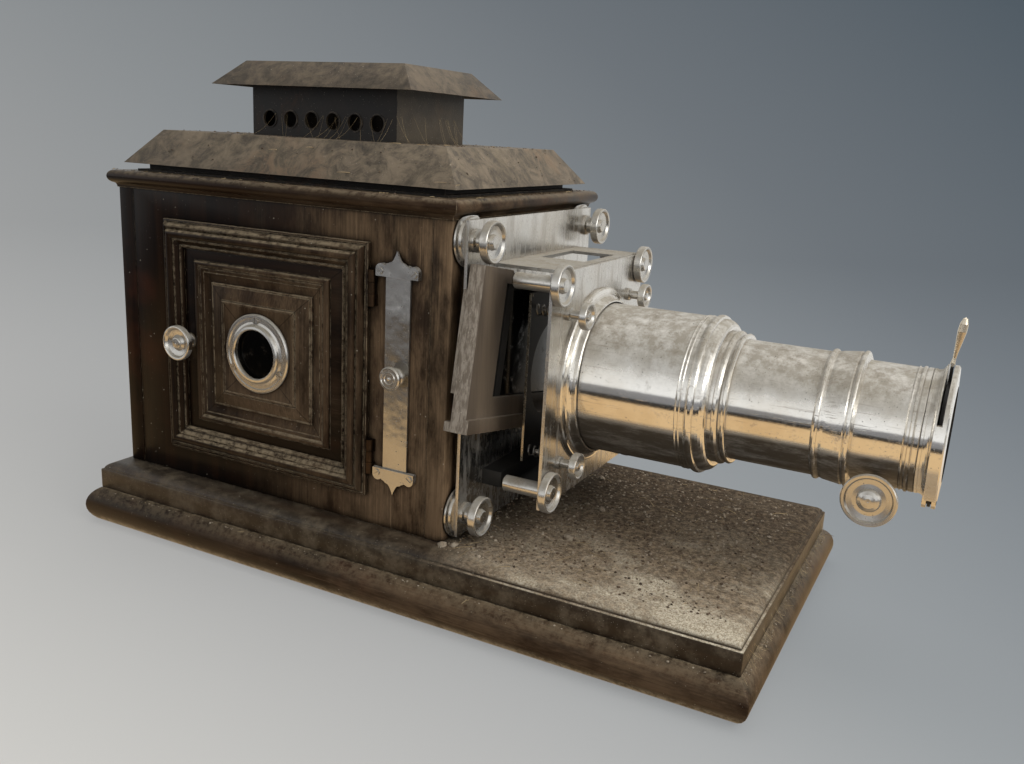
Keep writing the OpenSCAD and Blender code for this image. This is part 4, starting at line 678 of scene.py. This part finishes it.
def slot_of_node(name):
    for part in frame["record"]["subparts"]:
        if part["node"] == name:
            return part["material_slot"]
    raise KeyError(name)


def link(name, mesh):
    thing = bpy.data.objects.new(name, mesh)
    bpy.context.scene.collection.objects.link(thing)
    return thing


def new_piece(name, mesh, finish, body, slot, smooth_to=38):
    """A piece on a body, with its edges sharp past this many degrees."""
    piece = link(name, mesh)
    give(piece, finish)
    mesh.shade_smooth()
    mesh.set_sharp_from_angle(angle=math.radians(smooth_to))
    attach(piece, body)
    return piece


def like_node(name, mesh, node, finish=None, smooth_to=38):
    """A piece on a node's body, with the node's finish unless another is given."""
    finish = finish or frame["nodes"][node].data.materials[0]
    return new_piece(name, mesh, finish, body_of_node(node), slot_of_node(node), smooth_to)


def mesh_of(name, form):
    """The mesh of a form, which is then done with."""
    mesh = bpy.data.meshes.new(name)
    form.to_mesh(mesh)
    form.free()
    return mesh


def skin(form, rings):
    """Faces between closed rings of corners, each ring to the next."""
    for first, second in zip(rings, rings[1:]):
        for k in range(len(first)):
            m = (k + 1) % len(first)
            form.faces.new((first[k], first[m], second[m], second[k]))


def thread(form, rings):
    """A rod through rings of corners, closed at both ends."""
    skin(form, rings)
    form.faces.new(rings[0][::-1])
    form.faces.new(rings[-1])


def sheet(form, left, right):
    """Faces between two open rows of corners."""
    for k in range(len(left) - 1):
        form.faces.new((left[k], right[k], right[k + 1], left[k + 1]))


SHARP_BEND = math.radians(24)
FLAT_BEND = math.radians(0.5)
WELD_GAP = 0.002 * MM


def softened(node, width):
    """The node's own shape with its sharp edges worn round by this width."""
    form = bmesh.new()
    form.from_mesh(frame["nodes"][node].data)
    bmesh.ops.remove_doubles(form, verts=form.verts, dist=WELD_GAP)
    bmesh.ops.dissolve_limit(form, angle_limit=FLAT_BEND, verts=form.verts, edges=form.edges)
    sharp = [
        edge for edge in form.edges
        if len(edge.link_faces) == 2 and edge.calc_face_angle() > SHARP_BEND
    ]
    bmesh.ops.bevel(
        form, geom=sharp, offset=width, offset_type="OFFSET", segments=2, profile=0.5,
        affect="EDGES", clamp_overlap=True,
    )
    name = node + "_worn"
    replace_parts(like_node(name, mesh_of(name, form), node), node)


# How far each node's edges are worn, in mm
EDGE_WEAR = {
    "base_board": 0.9, "base_step": 0.9, "corner_posts": 0.8, "side_near": 0.4, "side_far": 0.5,
    "front_board": 0.5, "back_frame": 0.7, "cornice": 0.5, "door_centre": 0.25,
    "carrier_frame": 0.5, "stage_sill": 0.5, "roof": 0.35, "chimney_cap": 0.35,
}
for name, width in EDGE_WEAR.items():
    softened(name, width * MM)

# The door board's face, which the outer moulding stands on, and how deep the runs start under it
FRAME_HEIGHT = 9.6
DOOR_FACE = DOOR_LOW.y + FRAME_HEIGHT * MM
SUNK = -0.6
KNOB_POST_CLEAR = 7 * MM


def level_ridge():
    """The door's board without its ridge, which a finer moulded run stands for."""
    form = bmesh.new()
    form.from_mesh(frame["nodes"]["door_board"].data)
    post_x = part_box("door_knob")[0].x / 2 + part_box("door_knob")[1].x / 2
    for vert in form.verts:
        from_post = math.hypot(vert.co.x - post_x, vert.co.z - DOOR_MIDDLE.z)
        if vert.co.y < DOOR_FACE - 0.2 * MM and from_post >= KNOB_POST_CLEAR:
            vert.co.y = DOOR_FACE + 0.3 * MM
    piece = like_node("door_board_flat", mesh_of("door_board_flat", form), "door_board")
    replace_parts(piece, "door_board")


def mitred_run(name, rings, finish, node):
    """A moulding round a rectangle: each ring is half width, half height and how far it is out."""
    form = bmesh.new()
    loops = []
    for half_w, half_h, out in rings:
        corners = ((-half_w, -half_h), (half_w, -half_h), (half_w, half_h), (-half_w, half_h))
        loops.append([
            form.verts.new((DOOR_MIDDLE.x + x * MM, DOOR_FACE - out * MM, DOOR_MIDDLE.z + z * MM))
            for x, z in corners
        ])
    skin(form, loops + loops[:1])
    bmesh.ops.recalc_face_normals(form, faces=form.faces)
    return like_node(name, mesh_of(name, form), node, finish, 30)


def between(outer, inner, section):
    """Rings from an outer to an inner half size: section gives each one's share and height."""
    return [
        (outer[0] + (inner[0] - outer[0]) * part, outer[1] + (inner[1] - outer[1]) * part, out)
        for part, out in section
    ]


OUTER_SECTION = [
    (0.000, SUNK), (0.000, 2.9), (0.030, 3.3), (0.075, 3.4), (0.100, 2.7), (0.118, 2.8),
    (0.125, 4.4), (0.155, 5.9), (0.200, 7.0), (0.250, 7.4), (0.300, 7.2), (0.335, 6.5),
    (0.350, 6.4), (0.358, 7.6), (0.395, 8.8), (0.450, 9.45), (0.500, 9.6), (0.550, 9.4),
    (0.600, 8.7), (0.635, 7.6), (0.648, 6.7), (0.668, 6.6), (0.680, 7.1), (0.720, 7.2),
    (0.750, 6.7), (0.790, 5.6), (0.835, 4.8), (0.870, 4.5), (0.885, 4.5), (0.893, 5.2),
    (0.925, 5.5), (0.960, 5.2), (0.985, 4.4), (1.000, 3.2), (1.000, SUNK),
]
# The first six of these rings are the flat band, the rest climb the ridge
BAND_RINGS = 6
RIDGE_UP = [
    (0.000, SUNK), (0.000, 2.3), (0.030, 2.4), (0.690, 3.1), (0.715, 2.7), (0.735, 2.7),
    (0.740, 3.7), (0.770, 4.5), (0.830, 5.1), (0.890, 5.3), (0.950, 5.2), (1.000, 4.8),
]
RIDGE_DOWN = [
    (0.045, 4.8), (0.090, 4.4), (0.130, 3.8), (0.145, 3.7), (0.150, 4.1), (0.220, 4.2),
    (0.300, 3.9), (0.370, 3.3), (0.385, 3.2), (0.390, 3.5), (0.450, 3.4), (0.560, 2.7),
    (0.700, 2.2), (0.850, 1.9), (1.000, 1.8), (1.000, SUNK),
]
CENTRE_UP = [
    (-0.010, 0.4), (-0.010, 2.9), (0.030, 3.3), (0.075, 3.3), (0.095, 2.9), (0.110, 3.0),
    (0.125, 3.5), (0.300, 4.2), (0.600, 5.2), (0.850, 5.85), (0.925, 6.0), (0.950, 5.8),
    (0.950, 0.4),
]

level_ridge()
outer_rings = between(FRAME_OUT, FRAME_IN, OUTER_SECTION)
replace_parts(mitred_run("door_outer_run", outer_rings, door_frame, DOOR_FRAME), DOOR_FRAME)
climb_rings = between(FRAME_IN, RIDGE, RIDGE_UP)
band_rings, ridge_rings = climb_rings[:BAND_RINGS], climb_rings[BAND_RINGS - 1:]
mitred_run("door_band_run", band_rings + [(*RIDGE, SUNK)], door_band, "door_board")
ridge_rings = [(*ridge_rings[0][:2], SUNK)] + ridge_rings + between(RIDGE, VALLEY, RIDGE_DOWN)
mitred_run("door_ridge_run", ridge_rings, door_ridge, "door_board")
mitred_run("door_centre_run", between(VALLEY, FIELD, CENTRE_UP), door_middle, "door_centre")


def own_copy(name, node):
    """A copy of a node's mesh."""
    mesh = frame["nodes"][node].data.copy()
    mesh.name = name
    return mesh


def wound_springs():
    """The four coils, copied from their node; the share of their length kept at the pressure plate's full travel
    is worked out but not applied.
    """
    mesh = own_copy("pressure_springs_wound", "pressure_springs")
    piece = like_node("pressure_springs_wound", mesh, "pressure_springs")
    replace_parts(piece, "pressure_springs")
    joint = next(joint for joint in frame["joints"] if joint["name"] == "pressure_travel")
    keep = 1 - max(joint["range_m"]) / (SPRING_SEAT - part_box("pressure_springs")[0].x)
    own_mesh(piece)


wound_springs()

# The round lobe at each keeper's end: how far it starts from the tip, its radius, and how much
# further out its point is drawn
LOBE_LENGTH = 7.5 * MM
LOBE_RADIUS = 5.5 * MM
LOBE_DRAWN = 1.6 * MM


def pointed_keepers():
    """The strip's keepers with their lobes drawn out to an ogee point."""
    low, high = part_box("strip_keepers")
    middle = (low + high) / 2
    mesh = own_copy("strip_keepers_pointed", "strip_keepers")
    for vert in mesh.vertices:
        side = vert.co.x - middle.x
        along = abs(vert.co.z - middle.z) - (high.z - middle.z - LOBE_LENGTH)
        if along <= 0 or abs(side) > LOBE_RADIUS * 1.05:
            continue
        part = min(along / LOBE_LENGTH, 1)
        from_centre = along - (LOBE_LENGTH - LOBE_RADIUS)
        old = math.sqrt(max(LOBE_RADIUS ** 2 - from_centre ** 2, 1e-12))
        new = LOBE_RADIUS * 0.93 * (1 - part) ** 1.3
        vert.co.x = middle.x + side / old * new if old > 0.05 * MM else middle.x
        vert.co.z += math.copysign(LOBE_DRAWN * part ** 2, vert.co.z - middle.z)
    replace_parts(like_node("strip_keepers_pointed", mesh, "strip_keepers"), "strip_keepers")


pointed_keepers()


def pebble_form():
    """The corners and faces of a ball that each loose stone is cut from."""
    form = bmesh.new()
    bmesh.ops.create_icosphere(form, subdivisions=1, radius=1.0)
    points = [vert.co.copy() for vert in form.verts]
    faces = [[vert.index for vert in face.verts] for face in form.faces]
    form.free()
    return points, faces


PEBBLE_POINTS, PEBBLE_FACES = pebble_form()
# What loose dirt lies on: the body and slot there
ON_WOOD = ("lantern", "mahogany")
ON_ROOF = ("roof", "japanned_iron")
TOP_INSET = 14 * MM
LEDGE_DROP = 1.0 * MM


def crumb(points, faces, centre, size, rng):
    """One irregular stone, pressed flat below."""
    squash_z = rng.uniform(0.45, 0.8)
    turn = Matrix.Rotation(rng.uniform(0, math.tau), 3, "Z")
    first = len(points)
    for corner in PEBBLE_POINTS:
        point = corner * (size * rng.uniform(0.72, 1.15))
        point.z = max(point.z * squash_z, -size * 0.25)
        points.append(turn @ point + centre + Vector((0, 0, size * 0.2)))
    faces.extend([first + k for k in face] for face in PEBBLE_FACES)


def fibre(form, start, length, thick, rng, rise):
    """A bent straw or hair of three sides."""
    heading = rng.uniform(0, math.tau)
    bend = rng.uniform(-0.5, 0.5)
    steps = 5
    rings = []
    point = Vector(start)
    for step in range(steps + 1):
        part = step / steps
        side = Vector((-math.sin(heading), math.cos(heading), 0))
        lift = Vector((0, 0, thick * 0.6 + rise * math.sin(math.pi * part)))
        width = thick * (1 - 0.5 * part)
        ring = []
        for k in range(3):
            angle = math.tau * k / 3
            offset = side * math.cos(angle) * width + Vector((0, 0, math.sin(angle) * width))
            ring.append(form.verts.new(point + lift + offset))
        rings.append(ring)
        heading += bend / steps
        point = point + Vector((math.cos(heading), math.sin(heading), 0)) * (length / steps)
    thread(form, rings)


def on_front_board(rng):
    """A point on the flat of the upper board ahead of the case, more of them by the stage."""
    x = CASE_HIGH.x + (STEP_HIGH.x - TOP_INSET - CASE_HIGH.x) * rng.random() ** 1.35
    y = rng.uniform(STEP_LOW.y + TOP_INSET, STEP_HIGH.y - TOP_INSET)
    return Vector((x, y, STEP_HIGH.z))


def on_side_ledge(rng):
    """A point on the narrow ledge of the lower board, round the near side and the front end."""
    z = BASE_TOP - LEDGE_DROP
    if rng.random() < 0.6:
        x = rng.uniform(STEP_LOW.x, STEP_HIGH.x)
        return Vector((x, STEP_LOW.y - rng.uniform(0.5, 4) * MM, z))
    y = rng.uniform(STEP_LOW.y, STEP_HIGH.y)
    return Vector((STEP_HIGH.x + rng.uniform(0.5, 4) * MM, y, z))


def on_cornice(rng):
    """A point on top of the cornice, outside the roof's eave."""
    low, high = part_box("cornice")
    if rng.random() < 0.6:
        return Vector((rng.uniform(low.x, high.x), low.y + rng.uniform(4, 11) * MM, high.z))
    return Vector((high.x - rng.uniform(4, 11) * MM, rng.uniform(low.y, high.y), high.z))


def on_roof_slope(rng):
    """A point on one of the roof's slopes or its flat top, or none by the chimney."""
    x = rng.uniform(ROOF_LOW.x, ROOF_HIGH.x)
    y = rng.uniform(ROOF_LOW.y, ROOF_HIGH.y)
    if FLUE_LOW.x - MM < x < FLUE_HIGH.x + MM and FLUE_LOW.y - MM < y < FLUE_HIGH.y + MM:
        return None
    rise = (ROOF_HIGH.z - ROOF_LOW.z) / ROOF_SLOPE_RUN
    reach = min(x - ROOF_LOW.x, ROOF_HIGH.x - x, y - ROOF_LOW.y, ROOF_HIGH.y - y)
    return Vector((x, y, ROOF_LOW.z + min(reach, ROOF_SLOPE_RUN) * rise))


def spots_on(place, count, rng):
    """Points on a place, one after another."""
    while count > 0:
        spot = place(rng)
        if spot is not None:
            yield spot
            count -= 1


STONES = [
    # name, how many, where, smallest and largest in mm, finish, what they lie on, seed
    ("grit_crumbs_pale", 2600, on_front_board, 0.22, 1.3, pale_grit, ON_WOOD, 3),
    ("grit_crumbs_brown", 2000, on_front_board, 0.25, 1.4, brown_grit, ON_WOOD, 5),
    ("grit_stones", 16, on_front_board, 1.6, 4.0, pale_grit, ON_WOOD, 11),
    ("grit_on_ledge", 320, on_side_ledge, 0.2, 1.0, pale_grit, ON_WOOD, 7),
    ("grit_on_cornice", 260, on_cornice, 0.2, 0.9, brown_grit, ON_WOOD, 9),
    ("grit_on_roof", 500, on_roof_slope, 0.2, 0.9, brown_grit, ON_ROOF, 13),
]
for name, count, place, small, large, finish, home, seed in STONES:
    rng = random.Random(seed)
    points, faces = [], []
    for spot in spots_on(place, count, rng):
        size = small * MM + (large * MM - small * MM) * rng.random() ** 3
        crumb(points, faces, spot, size, rng)
    mesh = bpy.data.meshes.new(name)
    mesh.from_pydata(points, [], faces)
    new_piece(name, mesh, finish, *home, 60)

STRAWS = [
    # name, how many, where, shortest, longest and rise in mm, what they lie on, seed
    ("straw_on_board", 90, on_front_board, 3, 16, 0.5, ON_WOOD, 21),
    ("straw_on_ledge", 26, on_side_ledge, 2, 7, 0.2, ON_WOOD, 23),
    ("straw_on_cornice", 22, on_cornice, 2, 7, 0.2, ON_WOOD, 25),
    ("straw_on_roof", 26, on_roof_slope, 2, 9, 0.2, ON_ROOF, 27),
]
for name, count, place, short, long, rise, home, seed in STRAWS:
    rng = random.Random(seed)
    form = bmesh.new()
    for spot in spots_on(place, count, rng):
        length = rng.uniform(short * MM, long * MM)
        fibre(form, spot, length, rng.uniform(0.12, 0.4) * MM, rng, rise * MM)
    new_piece(name, mesh_of(name, form), straw, *home, 60)


def draught_baffles():
    """Bent sheets inside the chimney that keep light from showing through the draught holes."""
    form = bmesh.new()
    for side, wall in ((1, FLUE_LOW.y), (-1, FLUE_HIGH.y)):
        folds = [
            (wall + side * 0.8 * MM, FLUE_HIGH.z - 3 * MM),
            (wall + side * 9 * MM, FLUE_HIGH.z - 3 * MM),
            (wall + side * 9 * MM, FLUE_LOW.z + 8 * MM),
            (wall + side * 13 * MM, FLUE_LOW.z + 4 * MM),
        ]
        ends = (FLUE_LOW.x + 1.0 * MM, FLUE_HIGH.x - 1.0 * MM)
        sheet(form, *[[form.verts.new((x, y, z)) for y, z in folds] for x in ends])
    mesh = mesh_of("draught_baffles", form)
    piece = new_piece("draught_baffles", mesh, flue_iron, *ON_ROOF)
    thick = piece.modifiers.new("thick", "SOLIDIFY")
    thick.thickness = 0.6 * MM
    thick.offset = 0


draught_baffles()


def cobweb(name, spans, home, seed, thick):
    """Fine sagging threads, each from one point to another."""
    rng = random.Random(seed)
    form = bmesh.new()
    for start, end in spans:
        sag = (end - start).length * rng.uniform(0.04, 0.14)
        rings = []
        for step in range(7):
            part = step / 6
            point = start.lerp(end, part) - Vector((0, 0, sag * math.sin(math.pi * part)))
            rings.append([
                form.verts.new(point + Vector((0, math.cos(a), math.sin(a))) * thick * MM)
                for a in (0.5, 0.5 + math.tau / 3, 0.5 + 2 * math.tau / 3)
            ])
        thread(form, rings)
    new_piece(name, mesh_of(name, form), straw, *home, 60)


def corner_spans(count, along, low_point, high_point, seed):
    """Threads between a lower and an upper line that run along one side."""
    rng = random.Random(seed)
    spans = []
    for _ in range(count):
        place = rng.random()
        there = min(1.0, max(0.0, place + rng.uniform(-0.12, 0.12)))
        spans.append((low_point + along * place, high_point + along * there))
    return spans


front_run = Vector((0, STEP_HIGH.y - STEP_LOW.y - 16 * MM, 0))
front_foot = Vector((STEP_HIGH.x + 5 * MM, STEP_LOW.y + 8 * MM, BASE_TOP - 1.2 * MM))
front_edge = Vector((STEP_HIGH.x - 3.5 * MM, STEP_LOW.y + 8 * MM, STEP_HIGH.z - 1.0 * MM))
cobweb("webs_on_base", corner_spans(34, front_run, front_foot, front_edge, 31), ON_WOOD, 31, 0.13)

side_run = Vector((FLUE_HIGH.x - FLUE_LOW.x, 0, 0))
side_foot = Vector((FLUE_LOW.x, FLUE_LOW.y - 9 * MM, ROOF_HIGH.z + 0.1 * MM))
side_wall = Vector((FLUE_LOW.x, FLUE_LOW.y, ROOF_HIGH.z + 16 * MM))
end_run = Vector((0, FLUE_HIGH.y - FLUE_LOW.y, 0))
end_foot = Vector((FLUE_HIGH.x + 9 * MM, FLUE_LOW.y, ROOF_HIGH.z + 0.1 * MM))
end_wall = Vector((FLUE_HIGH.x, FLUE_LOW.y, ROOF_HIGH.z + 18 * MM))
roof_spans = corner_spans(16, side_run, side_foot, side_wall, 33)
roof_spans += corner_spans(12, end_run, end_foot, end_wall, 35)
cobweb("webs_on_roof", roof_spans, ON_ROOF, 37, 0.10)


def sweep_mesh():
    """A floor that curves up into a wall, deep on the far side, in metres."""
    nearest, depth, height, half_width = -9.0, 3.2, 3.2, 7.0
    radius, bends = 1.1, 14
    profile = [(nearest, 0), (depth - radius, 0)]
    for step in range(1, bends + 1):
        angle = math.pi / 2 * step / bends
        profile.append((
            depth - radius + radius * math.sin(angle), radius - radius * math.cos(angle),
        ))
    profile.append((depth, height))
    form = bmesh.new()
    ends = (-half_width, half_width)
    sheet(form, *[[form.verts.new((x, y, z)) for y, z in profile] for x in ends])
    mesh = mesh_of("sweep", form)
    mesh.shade_smooth()
    return mesh


# The backdrop's greys, from its pale near left to its blue-grey far right
BACKDROP = [
    (0.00, (0.630, 0.622, 0.598)), (0.25, (0.482, 0.484, 0.480)), (0.50, (0.330, 0.350, 0.364)),
    (0.75, (0.198, 0.222, 0.246)), (1.00, (0.114, 0.144, 0.172)),
]
OPEN_GREY = (0.32, 0.335, 0.35)
# What shiny metal sees on the floor: the table, its ends, its shaded near edge, the floor past
# that, and the lit ground on the far side
TABLE = (0.78, 0.54, 0.29)
TABLE_END = (0.42, 0.40, 0.36)
SHADE = (0.030, 0.028, 0.026)
NEAR_FLOOR = (0.25, 0.25, 0.26)
FAR_FLOOR = (0.80, 0.79, 0.76)


def seen_by_shine(finish):
    """The light path, and whether a shiny or a clear surface sent it."""
    light = finish.node("ShaderNodeLightPath")
    return light, light["Is Glossy Ray"].most(light["Is Transmission Ray"])


def sweep_card():
    """The backdrop runs from pale to blue-grey. What shines sees the cream table under it."""
    card = Finish("sweep_card")
    place = card.parts(card.place)
    foot = Matrix.Rotation(-CAMERA_AZIMUTH, 4, "Z") @ CAMERA_PLACE
    away = (place["Y"] - foot.y).most(0.05)
    climb = (place["Z"] - foot.z) / away
    aside = (place["X"] - foot.x) / away
    ahead = math.cos(CAMERA_ELEVATION) - climb * math.sin(CAMERA_ELEVATION)
    lift = climb * math.cos(CAMERA_ELEVATION) + math.sin(CAMERA_ELEVATION)
    zoom = CAMERA_LENS / SENSOR_WIDTH
    across = aside / ahead * zoom + 0.5
    upward = lift / ahead * (zoom * PICTURE_SHAPE) + 0.5
    corner_to_corner = (across + upward) * 0.5
    shade = card.node("ShaderNodeValToRGB", {"stops": BACKDROP}, [corner_to_corner])["Color"]

    ground = card.node("ShaderNodeVectorRotate", {"rotation_type": "Z_AXIS"}, {
        "Vector": card.place, "Center": (0, 0, 0), "Angle": CAMERA_AZIMUTH,
    })["Vector"]
    side = card.parts(ground)["Y"]
    ragged = side + card.noise(3.0, 3) * 0.05
    ends = card.parts(ground)["X"].size()
    shade = card.blend(1 - side.rise(-1.7, -0.8), shade, OPEN_GREY)
    table = card.blend(ends.rise(0.75, 1.05), TABLE, TABLE_END)
    shining = card.blend(1 - ragged.rise(-0.47, -0.44), table, SHADE)
    shining = card.blend(1 - ragged.rise(-0.80, -0.70), shining, NEAR_FLOOR)
    shining = card.blend(side.rise(0.30, 0.55), shining, FAR_FLOOR)
    light, shine = seen_by_shine(card)
    seen = card.blend(shine, shade, shining)
    dull = card.node("ShaderNodeBsdfDiffuse", None, {"Color": shade})["BSDF"]
    glow = card.node("ShaderNodeEmission", None, {"Color": seen, "Strength": 1.0})["Emission"]
    share = (light["Is Camera Ray"] * 0.62 + shine).held()
    both = card.node("ShaderNodeMixShader", None, [share, dull, glow])["Shader"]
    card.node("ShaderNodeOutputMaterial", None, {"Surface": both})
    return card.owner


def studio_air():
    """Even studio air: a long pale window low on the near side, grey above it."""
    world = bpy.data.worlds.new("studio_air")
    bpy.context.scene.world = world
    air = Finish("studio_air", world)
    part = air.parts(air.node("ShaderNodeTexCoord")["Generated"])
    band = part["Z"].rise(-0.04, 0.0) * (1 - part["Z"].rise(0.54, 0.58))
    window = band * (1 - part["Y"].rise(-0.25, 0.1))
    sky = air.blend(part["Z"].rise(0.1, 0.9), (0.30, 0.31, 0.32), (0.50, 0.50, 0.49))
    light, shine = seen_by_shine(air)
    pane = air.blend(shine, (0.36, 0.36, 0.36), (0.98, 0.98, 0.97))
    glow = air.blend(window, sky, pane)
    glow = air.blend(light["Is Camera Ray"], glow, OPEN_GREY)
    shader = air.node("ShaderNodeBackground", None, {"Color": glow, "Strength": 1.0})
    air.node("ShaderNodeOutputWorld", None, {"Surface": shader["Background"]})


SOFT_BOXES = [
    # name, place, width and depth, watts, colour
    ("soft_box_ahead", (1.35, -0.25, 1.05), (1.5, 1.3), 19.0, (1.0, 0.985, 0.95)),
    ("soft_box_overhead", (0.10, 0.40, 1.6), (1.6, 1.2), 8.0, (1.0, 0.985, 0.96)),
]
LIGHTS_AIM = Vector((0.03, 0, 0.15))


def soft_boxes():
    for name, place, size, power, colour in SOFT_BOXES:
        lamp = bpy.data.lights.new(name, "AREA")
        lamp.shape = "RECTANGLE"
        lamp.size, lamp.size_y = size
        lamp.energy = power
        lamp.color = colour
        box = link(name, lamp)
        box.location = place
        box.rotation_euler = (LIGHTS_AIM - Vector(place)).to_track_quat("-Z", "Y").to_euler()


def photo_camera():
    sin_a, cos_a = math.sin(CAMERA_AZIMUTH), math.cos(CAMERA_AZIMUTH)
    sin_e, cos_e = math.sin(CAMERA_ELEVATION), math.cos(CAMERA_ELEVATION)
    level = Vector((cos_a, sin_a, 0))
    upward = Vector((-sin_a * sin_e, cos_a * sin_e, cos_e))
    back = Vector((sin_a * cos_e, -cos_a * cos_e, sin_e))
    right = level * math.cos(CAMERA_ROLL) + upward * math.sin(CAMERA_ROLL)
    top = upward * math.cos(CAMERA_ROLL) - level * math.sin(CAMERA_ROLL)
    data = bpy.data.cameras.new("camera")
    data.lens = CAMERA_LENS
    data.sensor_width = SENSOR_WIDTH
    camera = link("camera", data)
    turn = Matrix((right, top, back)).transposed().to_4x4()
    camera.matrix_world = Matrix.Translation(CAMERA_PLACE) @ turn
    bpy.context.scene.camera = camera


sweep = link("sweep", sweep_mesh())
sweep.matrix_world = Matrix.Rotation(CAMERA_AZIMUTH, 4, "Z")
give(sweep, sweep_card())
studio_air()
soft_boxes()
photo_camera()
bpy.context.scene.view_settings.view_transform = "Standard"
